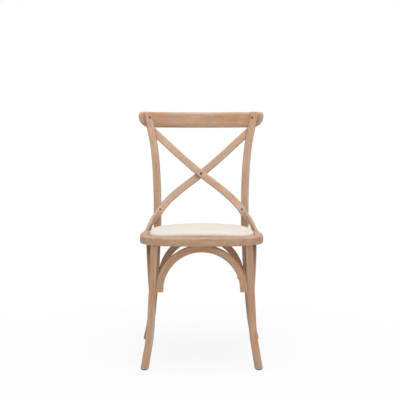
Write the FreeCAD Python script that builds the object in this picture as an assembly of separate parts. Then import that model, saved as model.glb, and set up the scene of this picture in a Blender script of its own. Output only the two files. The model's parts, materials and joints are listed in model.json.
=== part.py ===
import FreeCAD, Part
import math
import os

V = FreeCAD.Vector

# Cross back dining chair in solid oak with a drop-in upholstered seat pad.
# Millimetres. +Z is up, +X is to the right of someone who faces the chair's front, and the chair
# faces -Y. The origin is on the floor, under the middle of the chair's box.

# Whole chair
overall_height = 887.0
overall_depth = 530.0
fit = 0.2

# Seat frame: a ring of four rails with a rebate for the pad
seat_height = 446.0
seat_width = 428.0
seat_depth = 415.0
seat_thickness = 28.5
seat_rail_width = 68.0
seat_widest_behind_front = 165.0
front_edge_radius = 900.0
side_edge_radius = 900.0
back_edge_radius = 900.0
front_corner_radius = 120.0
back_corner_radius = 135.0
seat_edge_round = 6.0
front_joint_angle = 75.0
back_joint_before_post = 61.0
dowel_diameter = 8.0
dowel_length = 40.0
dowel_insets = (20.0, 52.0)

# Seat pad
pad_front_border = 43.0
pad_side_border = 30.0
pad_back_border = 46.0
pad_gap = 1.5
rebate_depth = 14.0
board_thickness = 9.0
cover_thickness = 1.2
cover_turn_under = 52.0
pad_edge_rise = 16.0
pad_crown = 26.0
pad_edge_round = 12.0
dust_cloth_thickness = 0.6
dust_cloth_inset = 3.0

# Back posts
post_width = 28.5
post_depth = 32.0
post_top_width = 32.0
post_top_depth = 25.0
post_corner_round = 9.0
post_foot_width = 30.0
post_half_spacing_foot = 211.0
post_half_spacing_seat = 166.0
post_half_spacing_top = 206.5
post_foot_y = 192.0
post_seat_y = 128.0
post_top_y = 206.0
post_top_round = 6.0

# Front legs
leg_width = 25.0
leg_foot_width = 27.5
leg_corner_round = 8.0
leg_half_spacing_top = 159.5
leg_half_spacing_foot = 192.0
leg_top_y = -212.0
leg_foot_y = -240.0
leg_spigot_diameter = 16.0
leg_spigot_length = 12.0
foot_chamfer = 2.0

# Crest rail
crest_width = 482.0
crest_height = 60.0
crest_thickness = 28.0
crest_bow = 47.0
crest_top_corner = 14.0
crest_bottom_corner = 42.0
crest_edge_round = 10.0

# Cross braces
brace_width = 28.0
brace_thickness = 11.0
brace_corner_round = 4.0
brace_let_in = 1.5
brace_cross_gap = 0.25
brace_cross_height = 648.0
brace_cross_y = 166.0
brace_head_below_crest = 14.0
brace_head_in_from_post = 4.9
brace_screw_height = 512.0
brace_screw_in_from_post = 11.5
brace_foot_half_spacing = 195.5
brace_foot_y = 6.0

# Bent arches under the seat
arch_thickness = 25.0
arch_depth = 21.0
arch_edge_round = 4.0
front_arch_end_height = 259.0
rear_arch_end_height = 246.0
side_arch_end_height = 244.0
arch_let_in = 0.8
side_arch_peak_half_spacing = 186.0

# Hardware
screw_head_diameter = 8.0
screw_shank_diameter = 4.0
screw_tip_radius = 0.4
screw_sink = 1.0
crest_screw_length = 32.0
crest_screw_below_top = 23.0
crest_screw_in_from_post = 7.0
cross_screw_length = 20.0
brace_post_screw_length = 34.0
brace_foot_screw_length = 42.0
arch_screw_length = 34.0
arch_screw_above_end = 12.0
pad_screw_length = 24.0
pad_screw_inset = 12.0
bolt_diameter = 6.0
bolt_head_diameter = 10.0
bolt_head_height = 6.0
bolt_length = 64.0
bolt_above_seat_bottom = 11.0
bolt_in_from_post = 6.0
bolt_sink = 8.0
washer_diameter = 14.0
washer_thickness = 1.5
barrel_nut_diameter = 12.0
barrel_nut_length = 20.0
barrel_nut_before_post = 28.0
glide_diameter = 20.0
glide_height = 3.0
glide_edge_round = 1.0
glide_nail_diameter = 2.4
glide_nail_length = 14.0
cover_staple_spacing = 55.0
cloth_staple_spacing = 70.0
staple_width = 10.0
staple_leg = 6.0
staple_wire = 0.9

# Places that follow from the sizes above
front_y = -overall_depth / 2
back_y = overall_depth / 2
seat_bottom = seat_height - seat_thickness
ledge_z = seat_height - rebate_depth
seat_back_y = front_y + seat_depth
seat_widest_y = front_y + seat_widest_behind_front
crest_bottom = overall_height - crest_height
post_back_height = overall_height - seat_height
post_front_at_seat = post_seat_y - post_depth / 2

# Shape of each bent member: fraction of its length, then the share of its sideways and
# fore-and-aft travel reached there. A brace's bend gives the shares of its travel outwards,
# forwards and down, then the direction of its wide side.
post_lower_shape = (
    (0.0, 0.0, 0.0), (0.39, 0.21, 0.2), (0.66, 0.44, 0.47), (0.87, 0.71, 0.79), (1.0, 1.0, 1.0),
)
post_upper_shape = (
    (0.0, 0.0, 0.0), (0.23, 0.0, 0.1), (0.49, 0.12, 0.34), (0.68, 0.33, 0.56),
    (0.85, 0.67, 0.82), (0.95, 0.93, 0.95), (1.0, 1.0, 1.0),
)
leg_shape = (
    (0.0, 0.0, 0.0), (0.24, 0.12, 0.02), (0.53, 0.31, 0.12), (0.66, 0.38, 0.22),
    (0.79, 0.56, 0.43), (0.9, 0.79, 0.71), (1.0, 1.0, 1.0),
)
brace_bend_shape = (
    (0.2, 0.1, 0.19, 0.25, -0.05, 0.86), (0.46, 0.27, 0.39, 0.12, -0.18, 0.91),
    (0.72, 0.59, 0.61, 0.02, -0.34, 0.92), (1.0, 1.0, 1.0, -0.05, -0.48, 0.87),
)


def along(table, fraction):
    """Smooth values between a table's rows, by cubic steps whose slopes come from the neighbours."""
    last = len(table) - 2
    row = 0
    while row < last and fraction > table[row + 1][0]:
        row += 1
    start, end = table[row], table[row + 1]
    before = table[max(row - 1, 0)]
    after = table[min(row + 2, len(table) - 1)]
    span = end[0] - start[0]
    t = (fraction - start[0]) / span
    values = []
    for k in range(1, len(start)):
        slope_in = (end[k] - before[k]) / (end[0] - before[0]) * span
        slope_out = (after[k] - start[k]) / (after[0] - start[0]) * span
        a = 2 * t ** 3 - 3 * t ** 2 + 1
        b = t ** 3 - 2 * t ** 2 + t
        c = 3 * t ** 2 - 2 * t ** 3
        d = t ** 3 - t ** 2
        values.append(a * start[k] + b * slope_in + c * end[k] + d * slope_out)
    return values


def blend(low, high, share):
    return low + (high - low) * share


def post_centre(z):
    """Half spacing and Y of a back post's centre line at a height."""
    if z < seat_height:
        out, back = along(post_lower_shape, (seat_height - z) / (seat_height - glide_height))
        return (blend(post_half_spacing_seat, post_half_spacing_foot, out),
                blend(post_seat_y, post_foot_y, back))
    out, back = along(post_upper_shape, (z - seat_height) / post_back_height)
    return (blend(post_half_spacing_seat, post_half_spacing_top, out),
            blend(post_seat_y, post_top_y, back))


def post_size(z):
    """Width and depth of a back post at a height: fuller at the foot, finer at the top."""
    foot = max(0.0, 1 - z / (seat_bottom / 2))
    top = max(0.0, (z - crest_bottom + crest_height) / (2 * crest_height))
    width = blend(blend(post_width, post_foot_width, foot), post_top_width, top)
    depth = blend(post_depth, post_top_depth, top)
    return width, depth


def leg_centre(z):
    """Half spacing and Y of a front leg's centre line at a height."""
    out, forward = along(leg_shape, (seat_bottom - z) / (seat_bottom - glide_height))
    return (blend(leg_half_spacing_top, leg_half_spacing_foot, out),
            blend(leg_top_y, leg_foot_y, forward))


def leg_size(z):
    foot = max(0.0, 1 - z / (seat_bottom / 2))
    return blend(leg_width, leg_foot_width, foot)


def rounded_section(centre, across, up, width, depth, radius):
    """Closed rectangle with rounded corners, in the plane of the directions across and up."""
    edges = []
    arcs = []
    for sx, sy in ((1, 1), (-1, 1), (-1, -1), (1, -1)):
        mid = centre + across * (sx * (width / 2 - radius)) + up * (sy * (depth / 2 - radius))
        on_x = mid + across * (sx * radius)
        on_y = mid + up * (sy * radius)
        half = mid + (across * sx + up * sy) * (radius * math.sqrt(0.5))
        first, last = (on_x, on_y) if sx * sy > 0 else (on_y, on_x)
        arcs.append((first, half, last))
    for k in range(4):
        first, half, last = arcs[k]
        edges.append(Part.Arc(first, half, last).toShape())
        edges.append(Part.makeLine(last, arcs[(k + 1) % 4][0]))
    return Part.Wire(edges)


def upright(centre_at, size_at, radius, heights):
    """Bent upright member: level rounded sections lofted from the lowest height to the highest."""
    sections = []
    for z in heights:
        x, y = centre_at(z)
        width, depth = size_at(z)
        sections.append(rounded_section(V(x, y, z), V(1, 0, 0), V(0, 1, 0), width, depth, radius))
    return Part.makeLoft(sections, True, False)


def mirrored(shape):
    """The same piece for the chair's other side."""
    return shape.mirror(V(0, 0, 0), V(1, 0, 0))


def between(low, high, steps):
    return [low + (high - low) * k / steps for k in range(steps + 1)]


def level_edges(shape, z):
    """Edges that lie in the level plane at a height."""
    flat = []
    for edge in shape.Edges:
        box = edge.BoundBox
        if abs(box.ZMin - z) < 0.01 and abs(box.ZMax - z) < 0.01:
            flat.append(edge)
    return flat


def cylinder(start, direction, radius, length):
    return Part.makeCylinder(radius, length, start, direction)


def screw(head, direction, length):
    """Countersunk wood screw: head is the middle of its top, direction points into the wood."""
    rise = (screw_head_diameter - screw_shank_diameter) / 2
    cone = Part.makeCone(screw_head_diameter / 2, screw_shank_diameter / 2, rise, head, direction)
    point_length = screw_shank_diameter
    shank = cylinder(head, direction, screw_shank_diameter / 2, length - point_length)
    tip = Part.makeCone(screw_shank_diameter / 2, screw_tip_radius, point_length,
                        head + direction * (length - point_length), direction)
    return cone.fuse(shank).fuse(tip).removeSplitter()


def screw_hole(head, direction, length):
    """The screw's own shape, with the way in above its head."""
    way_in = cylinder(head - direction * arch_depth, direction, screw_head_diameter / 2, arch_depth)
    return screw(head, direction, length).fuse(way_in)


def circles_meet(first, first_radius, second, second_radius, side):
    """One of the two points where two circles cross, as (x, y)."""
    dx = second[0] - first[0]
    dy = second[1] - first[1]
    apart = math.hypot(dx, dy)
    reach = (first_radius ** 2 - second_radius ** 2 + apart ** 2) / (2 * apart)
    off = side * math.sqrt(first_radius ** 2 - reach ** 2)
    return (first[0] + (reach * dx - off * dy) / apart, first[1] + (reach * dy + off * dx) / apart)


def towards(start, end, distance):
    """Point at a distance from start on the line through end, as (x, y)."""
    apart = math.hypot(end[0] - start[0], end[1] - start[1])
    return (start[0] + (end[0] - start[0]) * distance / apart,
            start[1] + (end[1] - start[1]) * distance / apart)


def seat_corners(front_border, side_border, back_border):
    """Circles of the seat's outline, drawn in by its borders: front, corner, side, corner, back."""
    front_mid = (0.0, front_y + front_border + front_edge_radius)
    side_mid = (seat_width / 2 - side_border - side_edge_radius, seat_widest_y)
    back_mid = (0.0, seat_back_y - back_border - back_edge_radius)
    front_radius = front_corner_radius - (front_border + side_border) / 2
    back_radius = back_corner_radius - (back_border + side_border) / 2
    front_corner = circles_meet(front_mid, front_edge_radius - front_radius,
                                side_mid, side_edge_radius - front_radius, -1)
    back_corner = circles_meet(side_mid, side_edge_radius - back_radius,
                               back_mid, back_edge_radius - back_radius, -1)
    if front_corner[0] < 0:
        front_corner = circles_meet(front_mid, front_edge_radius - front_radius,
                                    side_mid, side_edge_radius - front_radius, 1)
    if back_corner[0] < 0:
        back_corner = circles_meet(side_mid, side_edge_radius - back_radius,
                                   back_mid, back_edge_radius - back_radius, 1)
    return (front_mid, side_mid, back_mid, front_corner, front_radius, back_corner, back_radius)


def seat_outline(front_border, side_border, back_border, z):
    """Rounded seat outline of eight tangent arcs, as a wire at a height."""
    (front_mid, side_mid, back_mid, front_corner, front_radius, back_corner,
     back_radius) = seat_corners(front_border, side_border, back_border)
    front_end = towards(front_mid, front_corner, front_edge_radius)
    side_start = towards(side_mid, front_corner, side_edge_radius)
    side_end = towards(side_mid, back_corner, side_edge_radius)
    back_start = towards(back_mid, back_corner, back_edge_radius)
    middle = ((front_end[0] + side_start[0]) / 2, (front_end[1] + side_start[1]) / 2)
    front_bend = towards(front_corner, middle, front_radius)
    middle = ((side_end[0] + back_start[0]) / 2, (side_end[1] + back_start[1]) / 2)
    back_bend = towards(back_corner, middle, back_radius)
    side_widest = (seat_width / 2 - side_border, seat_widest_y)
    right = ((front_end, front_bend, side_start), (side_start, side_widest, side_end),
             (side_end, back_bend, back_start))
    arcs = [((-front_end[0], front_end[1]), (0.0, front_y + front_border), front_end)]
    arcs.extend(right)
    arcs.append((back_start, (0.0, seat_back_y - back_border), (-back_start[0], back_start[1])))
    for first, mid, last in reversed(right):
        arcs.append(((-last[0], last[1]), (-mid[0], mid[1]), (-first[0], first[1])))
    edges = []
    for first, mid, last in arcs:
        edges.append(Part.Arc(V(*first, z), V(*mid, z), V(*last, z)).toShape())
    return Part.Wire(edges)


def seat_slab(front_border, side_border, back_border, low, high):
    face = Part.Face(seat_outline(front_border, side_border, back_border, low))
    return face.extrude(V(0, 0, high - low))


def make_posts():
    """Left and right back post, each bent from foot to crest."""
    heights = between(glide_height, seat_height, 5)[:-1] + between(seat_height, overall_height, 6)
    post = upright(post_centre, post_size, post_corner_round, heights)
    post = post.makeChamfer(foot_chamfer, level_edges(post, glide_height))
    post = post.makeFillet(post_top_round, level_edges(post, overall_height))
    return {"left": mirrored(post), "right": post}


def make_front_legs():
    """Left and right sabre leg, each with a round spigot that enters the seat frame."""
    leg = upright(leg_centre, lambda z: (leg_size(z), leg_size(z)), leg_corner_round,
                  between(glide_height, seat_bottom, 8))
    leg = leg.makeChamfer(foot_chamfer, level_edges(leg, glide_height))
    spigot = cylinder(V(leg_half_spacing_top, leg_top_y, seat_bottom - 1), V(0, 0, 1),
                      leg_spigot_diameter / 2, leg_spigot_length + 1)
    leg = leg.fuse(spigot).removeSplitter()
    return {"left": mirrored(leg), "right": leg}


def make_crest_rail():
    """Thick rail, bent in plan with its ends forward, with rounded ends and softened edges."""
    half = crest_width / 2
    radius = (half ** 2 + crest_bow ** 2) / (2 * crest_bow)
    middle = V(0, back_y - radius - crest_thickness / 2, crest_bottom)
    spread = math.asin(half / radius) + math.radians(5)
    rims = []
    for rim in (radius + crest_thickness / 2, radius - crest_thickness / 2):
        points = []
        for angle in (-spread, 0.0, spread):
            points.append(middle + V(rim * math.sin(angle), rim * math.cos(angle), 0))
        rims.append(points)
    outer, inner = rims
    band = Part.Wire([
        Part.Arc(*outer).toShape(), Part.makeLine(outer[2], inner[2]),
        Part.Arc(inner[2], inner[1], inner[0]).toShape(), Part.makeLine(inner[0], outer[0]),
    ])
    bar = Part.Face(band).extrude(V(0, 0, crest_height))
    top = overall_height
    low = crest_bottom
    bend = math.sqrt(0.5)
    right = (
        (V(half, 0, low + crest_bottom_corner), V(half, 0, top - crest_top_corner), None),
        (V(half, 0, top - crest_top_corner), V(half - crest_top_corner, 0, top),
         V(half - crest_top_corner * (1 - bend), 0, top - crest_top_corner * (1 - bend))),
        (V(half - crest_top_corner, 0, top), V(crest_top_corner - half, 0, top), None),
        (V(crest_top_corner - half, 0, top), V(-half, 0, top - crest_top_corner),
         V(crest_top_corner * (1 - bend) - half, 0, top - crest_top_corner * (1 - bend))),
        (V(-half, 0, top - crest_top_corner), V(-half, 0, low + crest_bottom_corner), None),
        (V(-half, 0, low + crest_bottom_corner), V(crest_bottom_corner - half, 0, low),
         V(crest_bottom_corner * (1 - bend) - half, 0, low + crest_bottom_corner * (1 - bend))),
        (V(crest_bottom_corner - half, 0, low), V(half - crest_bottom_corner, 0, low), None),
        (V(half - crest_bottom_corner, 0, low), V(half, 0, low + crest_bottom_corner),
         V(half - crest_bottom_corner * (1 - bend), 0, low + crest_bottom_corner * (1 - bend))),
    )
    edges = []
    for first, last, mid in right:
        if mid is None:
            edges.append(Part.makeLine(first, last))
        else:
            edges.append(Part.Arc(first, mid, last).toShape())
    front_view = Part.Face(Part.Wire(edges))
    rail = bar.common(front_view.extrude(V(0, back_y + crest_thickness, 0)))
    broad = sorted(rail.Faces, key=lambda face: face.Area)[-2:]
    rims = []
    for face in broad:
        rims.extend(face.Edges)
    return rail.makeFillet(crest_edge_round, rims)


def brace_line(in_front):
    """Centre line of a brace, its marks and the direction of its wide side at each mark: from its
    head behind the left post, past the crossing and the front of the right post, to its foot on
    the seat frame. The rear brace is the same strip, set back at the crossing, then mirrored."""
    head_z = crest_bottom - brace_head_below_crest
    head_x, head_y = post_centre(head_z)
    head_y += post_size(head_z)[1] / 2 + brace_thickness / 2 - brace_let_in
    low_x, low_y = post_centre(brace_screw_height)
    low_y -= post_size(brace_screw_height)[1] / 2 + brace_thickness / 2 - brace_let_in
    lean = math.atan2(head_y - low_y, head_z - brace_screw_height)
    apart = (brace_thickness + brace_cross_gap) / 2 / math.cos(lean)
    head = V(-(head_x - brace_head_in_from_post), head_y, head_z)
    cross = V(0, brace_cross_y - apart if in_front else brace_cross_y + apart, brace_cross_height)
    low = V(low_x - brace_screw_in_from_post, low_y, brace_screw_height)
    foot = V(brace_foot_half_spacing, brace_foot_y, seat_height)
    bend = []
    for out, forward, down, *wide in brace_bend_shape:
        bend.append(V(blend(low.x, foot.x, out), blend(low.y, foot.y, forward),
                      blend(low.z, foot.z, down)))
    above_head = head + (head - cross).normalize() * brace_width
    past_foot = foot + (foot - bend[-2]) * 0.5
    points = [above_head, head, cross, low] + bend + [past_foot]
    curve = Part.BSplineCurve()
    curve.interpolate(points)
    marks = [curve.parameter(point) for point in points]
    edges = [curve.tangent(mark)[0].cross(brace_square(curve, mark)) for mark in marks[:4]]
    edges.extend(V(*row[3:]) for row in brace_bend_shape)
    return curve, marks, edges + [edges[-1]]


def brace_square(curve, mark):
    """Backward direction square to the broad face of a brace, at a mark above its bend."""
    run = curve.tangent(mark)[0]
    return V(0, -run.z, run.y).normalize()


def brace_screw_seat(side, in_front, station, from_behind):
    """Head point and direction of a screw through a brace at one of its stations."""
    curve, marks, edges = brace_line(in_front)
    inward = brace_square(curve, marks[station])
    if from_behind:
        inward = inward * -1
    head = curve.value(marks[station]) - inward * (brace_thickness / 2 - screw_sink)
    return V(side * head.x, head.y, head.z), inward


def make_brace(in_front):
    """Bent strip along its line, trimmed under the crest rail, at the post and at the seat."""
    curve, marks, edges = brace_line(in_front)
    sections = []
    for k in range(len(marks) - 1):
        for share in (0.0, 0.5):
            here = marks[k] + (marks[k + 1] - marks[k]) * share
            sections.append(brace_section(curve, here, edges[k] * (1 - share) + edges[k + 1] * share))
    sections.append(brace_section(curve, marks[-1], edges[-1]))
    strip = Part.makeLoft(sections, True, False)
    head_x = post_centre(crest_bottom)[0]
    keep = Part.makeBox(head_x + seat_width, 2 * overall_depth, crest_bottom - seat_height,
                        V(-head_x, -overall_depth, seat_height))
    return strip.common(keep)


def brace_section(curve, mark, edge):
    """Section of the strip square to its line, its wide side along the given edge direction."""
    run = curve.tangent(mark)[0]
    wide = (edge - run * edge.dot(run)).normalize()
    thin = run.cross(wide)
    return rounded_section(curve.value(mark), wide, thin, brace_width, brace_thickness,
                           brace_corner_round)


def make_arch(radius, peak, run, rise, end_drop):
    """Bent arch: a half ring with straight ends. peak is the top of its outer face, run points
    along its span and rise from its ends to its peak; end_drop is how far its ends lie below
    the peak, along rise."""
    inner = radius - arch_thickness
    middle = peak - rise * radius
    ends = peak - rise * end_drop
    outer_right = middle + run * radius
    outer_left = middle - run * radius
    inner_right = middle + run * inner
    inner_left = middle - run * inner
    profile = Part.Wire([
        Part.makeLine(ends - run * radius, outer_left),
        Part.Arc(outer_left, peak, outer_right).toShape(),
        Part.makeLine(outer_right, ends + run * radius),
        Part.makeLine(ends + run * radius, ends + run * inner),
        Part.makeLine(ends + run * inner, inner_right),
        Part.Arc(inner_right, middle + rise * inner, inner_left).toShape(),
        Part.makeLine(inner_left, ends - run * inner),
        Part.makeLine(ends - run * inner, ends - run * radius),
    ])
    depth = run.cross(rise).normalize()
    profile.translate(depth * (-arch_depth / 2))
    arch = Part.Face(profile).extrude(depth * arch_depth)
    long_edges = []
    for face in arch.Faces:
        if abs(face.normalAt(0, 0).dot(depth)) > 0.999:
            for edge in face.Edges:
                if abs(edge.Length - arch_thickness) > 0.01:
                    long_edges.append(edge)
    return arch.makeFillet(arch_edge_round, long_edges)


def arch_places():
    """Radius, peak, span direction, rise and end drop of the four arches, by name."""
    places = {}
    peak_z = seat_bottom + arch_let_in
    low = front_arch_end_height
    leg_x, leg_y = leg_centre(low)
    radius = leg_x - leg_size(low) / 2 + arch_let_in
    places["front_arch"] = (radius, V(0, leg_y, peak_z), V(1, 0, 0), V(0, 0, 1), peak_z - low)
    low = rear_arch_end_height
    post_x, post_y = post_centre(low)
    radius = post_x - post_size(low)[0] / 2 + arch_let_in
    places["rear_arch"] = (radius, V(0, post_y, peak_z), V(1, 0, 0), V(0, 0, 1), peak_z - low)
    low = side_arch_end_height
    leg_x, leg_y = leg_centre(low)
    post_x, post_y = post_centre(low)
    front_face = leg_y + leg_size(low) / 2
    rear_face = post_y - post_size(low)[1] / 2
    for name, side in (("side_arch_left", -1), ("side_arch_right", 1)):
        run = V(side * (post_x - leg_x), post_y - leg_y, 0).normalize()
        radius = (rear_face - front_face) / 2 / run.y + arch_let_in
        base = V(side * (leg_x + post_x) / 2, (front_face + rear_face) / 2, low)
        peak = V(side * side_arch_peak_half_spacing, base.y, peak_z)
        rise = peak - base
        rise = (rise - run * rise.dot(run)).normalize()
        drop = (peak - base).dot(rise)
        places[name] = (radius, peak, run, rise, drop)
    return places


def arch_screw_seats(place):
    """Head point and direction of an arch's two leg screws and its seat screw."""
    radius, peak, run, rise, end_drop = place
    inner = radius - arch_thickness
    seats = []
    for way in (-1, 1):
        height = end_drop - arch_screw_above_end
        head = peak - rise * height + run * (way * (inner + screw_sink))
        seats.append((head, run * way))
    top = (peak - rise * (arch_thickness - screw_sink), rise)
    return seats, top


def trimmed_by_seat(arch):
    """Arch planed level where its peak meets the seat frame."""
    above = Part.makeBox(2 * seat_width, 2 * overall_depth, seat_thickness,
                         V(-seat_width, -overall_depth, seat_bottom))
    return arch.cut(above)


def make_seat_ring(posts):
    """One-piece ring, before it is parted into rails: rounded outside, rebated for the pad and
    notched round the back posts."""
    ring = seat_slab(0, 0, 0, seat_bottom, seat_height)
    rims = level_edges(ring, seat_bottom) + level_edges(ring, seat_height)
    ring = ring.makeFillet(seat_edge_round, rims)
    opening = seat_slab(seat_rail_width, seat_rail_width, seat_rail_width,
                        seat_bottom - 1, seat_height + 1)
    rebate = seat_slab(pad_front_border - pad_gap, pad_side_border - pad_gap,
                       pad_back_border - pad_gap, ledge_z, seat_height + 1)
    ring = ring.cut(opening).cut(rebate)
    notch_x = post_half_spacing_seat - post_width / 2 + 1
    notch_y = post_front_at_seat + 1
    for name, side in (("left", -1), ("right", 1)):
        corner = V(notch_x if side > 0 else -notch_x - seat_width, notch_y, seat_bottom - 1)
        ring = ring.cut(Part.makeBox(seat_width, overall_depth, seat_thickness + 2, corner))
        ring = ring.cut(posts[name])
    return ring


def joint_dowels():
    """Dowel solids across the four joints of the seat frame."""
    corner = seat_corners(0, 0, 0)[3]
    radius = front_corner_radius
    angle = math.radians(front_joint_angle)
    mid_z = (seat_bottom + ledge_z) / 2
    back_joint_y = post_front_at_seat - back_joint_before_post
    back_corner, back_radius = seat_corners(0, 0, 0)[5:7]
    back_x = back_corner[0] + math.sqrt(back_radius ** 2 - (back_joint_y - back_corner[1]) ** 2)
    dowels = []
    for side in (-1, 1):
        for inset in dowel_insets:
            across = V(side * math.sin(angle), math.cos(angle), 0)
            reach = radius - inset
            mid = V(side * (corner[0] + reach * math.cos(angle)),
                    corner[1] - reach * math.sin(angle), mid_z)
            start = mid - across * (dowel_length / 2)
            dowels.append(cylinder(start, across, dowel_diameter / 2, dowel_length))
            start = V(side * (back_x - inset), back_joint_y - dowel_length / 2, mid_z)
            dowels.append(cylinder(start, V(0, 1, 0), dowel_diameter / 2, dowel_length))
    return dowels


def part_ring(ring):
    """The ring sawn into front, back and side rails at its four joints."""
    corner = seat_corners(0, 0, 0)[3]
    angle = math.radians(front_joint_angle)
    far = seat_width
    out_x = corner[0] + far * math.cos(angle)
    out_y = corner[1] - far * math.sin(angle)
    low = seat_bottom - 1
    wedge_wire = Part.makePolygon([
        V(corner[0], corner[1], low), V(out_x, out_y, low), V(-out_x, out_y, low),
        V(-corner[0], corner[1], low), V(corner[0], corner[1], low),
    ])
    wedge = Part.Face(wedge_wire).extrude(V(0, 0, seat_thickness + 2))
    back_joint_y = post_front_at_seat - back_joint_before_post
    back_box = Part.makeBox(2 * seat_width, seat_depth, seat_thickness + 2,
                            V(-seat_width, back_joint_y, low))
    rails = {"seat_front_rail": ring.common(wedge), "seat_back_rail": ring.common(back_box)}
    sides = ring.cut(wedge).cut(back_box)
    for solid in sides.Solids:
        name = "seat_side_rail_left" if solid.CenterOfMass.x < 0 else "seat_side_rail_right"
        rails[name] = solid
    return rails


def make_pad():
    """Plywood board, foam, wrapped cover and dust cloth of the drop-in seat."""
    borders = (pad_front_border, pad_side_border, pad_back_border)
    wrapped = [border + cover_thickness for border in borders]
    board_low = ledge_z + cover_thickness
    board_high = board_low + board_thickness
    board = seat_slab(*wrapped, board_low, board_high)
    foam = crowned_block(wrapped, board_high, -cover_thickness)
    outer = crowned_block(borders, ledge_z, 0.0)
    window = seat_slab(*[border + cover_turn_under for border in borders], ledge_z - 1, board_low)
    cover = outer.cut(foam).cut(board).cut(window)
    inset = seat_rail_width + dust_cloth_inset
    cloth = seat_slab(inset, inset, inset, ledge_z - dust_cloth_thickness, ledge_z)
    return board, foam, cover, cloth


def crowned_block(borders, low, lift):
    """Slab over the pad's outline with a domed top and rounded upper rim; lift moves its top."""
    rim_z = seat_height + pad_edge_rise + lift
    crown_z = seat_height + pad_crown + lift
    rise = crown_z - rim_z
    half = seat_depth / 2 - borders[0]
    radius = (half ** 2 + rise ** 2) / (2 * rise)
    mid_y = (front_y + seat_back_y) / 2
    block = seat_slab(*borders, low, crown_z + 1)
    dome = Part.makeSphere(radius, V(0, mid_y, crown_z - radius))
    block = block.common(dome)
    rim = []
    for edge in block.Edges:
        if edge.BoundBox.ZMin > low + 1 and edge.Length > 4 * pad_edge_round:
            rim.append(edge)
    return block.makeFillet(pad_edge_round, rim)


def pad_screw_seats():
    """Head points of the four screws that hold the pad from below."""
    inset = pad_side_border + pad_screw_inset
    outline = seat_outline(pad_front_border + pad_screw_inset, inset,
                           pad_back_border + pad_screw_inset, seat_bottom)
    seats = []
    for edge in outline.Edges:
        middle = edge.valueAt((edge.FirstParameter + edge.LastParameter) / 2)
        if abs(middle.x) > seat_rail_width and abs(middle.x) < seat_width / 2 - inset - 1:
            seats.append(V(middle.x, middle.y, seat_bottom + screw_sink))
    return seats


def staple(middle, along_direction):
    """Flat wire staple driven upwards: crown below the cloth, two legs into the board."""
    half = staple_width / 2
    up = V(0, 0, 1)
    solid = Part.makeBox(staple_width, staple_wire, staple_wire,
                         V(-half, -staple_wire / 2, -staple_wire))
    for x in (-half, half - staple_wire):
        leg = Part.makeBox(staple_wire, staple_wire, staple_leg, V(x, -staple_wire / 2, 0))
        solid = solid.fuse(leg)
    solid = solid.removeSplitter()
    turn = math.degrees(math.atan2(along_direction.y, along_direction.x))
    solid.rotate(V(0, 0, 0), up, turn)
    solid.translate(middle)
    return solid


def staple_row(extra_inset, low, spacing):
    """Staples along the pad's outline, drawn in by extra_inset from the pad's edge."""
    outline = seat_outline(pad_front_border + extra_inset, pad_side_border + extra_inset,
                           pad_back_border + extra_inset, low)
    staples = []
    for edge in outline.Edges:
        count = max(1, round(edge.Length / spacing))
        for k in range(count):
            mark = edge.FirstParameter + (edge.LastParameter - edge.FirstParameter) * (k + 0.5) / count
            staples.append(staple(edge.valueAt(mark), edge.tangentAt(mark)))
    return staples


def make_glides():
    """Round nylon glide with a nail, under each foot."""
    feet = []
    for side in (-1, 1):
        for centre_at in (leg_centre, post_centre):
            x, y = centre_at(glide_height)
            feet.append(V(side * x, y, 0))
    glides = []
    for foot in feet:
        disc = cylinder(foot, V(0, 0, 1), glide_diameter / 2, glide_height)
        disc = disc.makeFillet(glide_edge_round, level_edges(disc, 0))
        nail = cylinder(foot + V(0, 0, glide_height - 1), V(0, 0, 1), glide_nail_diameter / 2,
                        glide_nail_length + 1)
        glides.append(disc.fuse(nail).removeSplitter())
    return glides


def cut_all(shape, tools):
    """The shape less every tool whose box meets its own."""
    near = [tool for tool in tools if shape.BoundBox.intersect(tool.BoundBox)]
    return shape.cut(near) if near else shape


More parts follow.
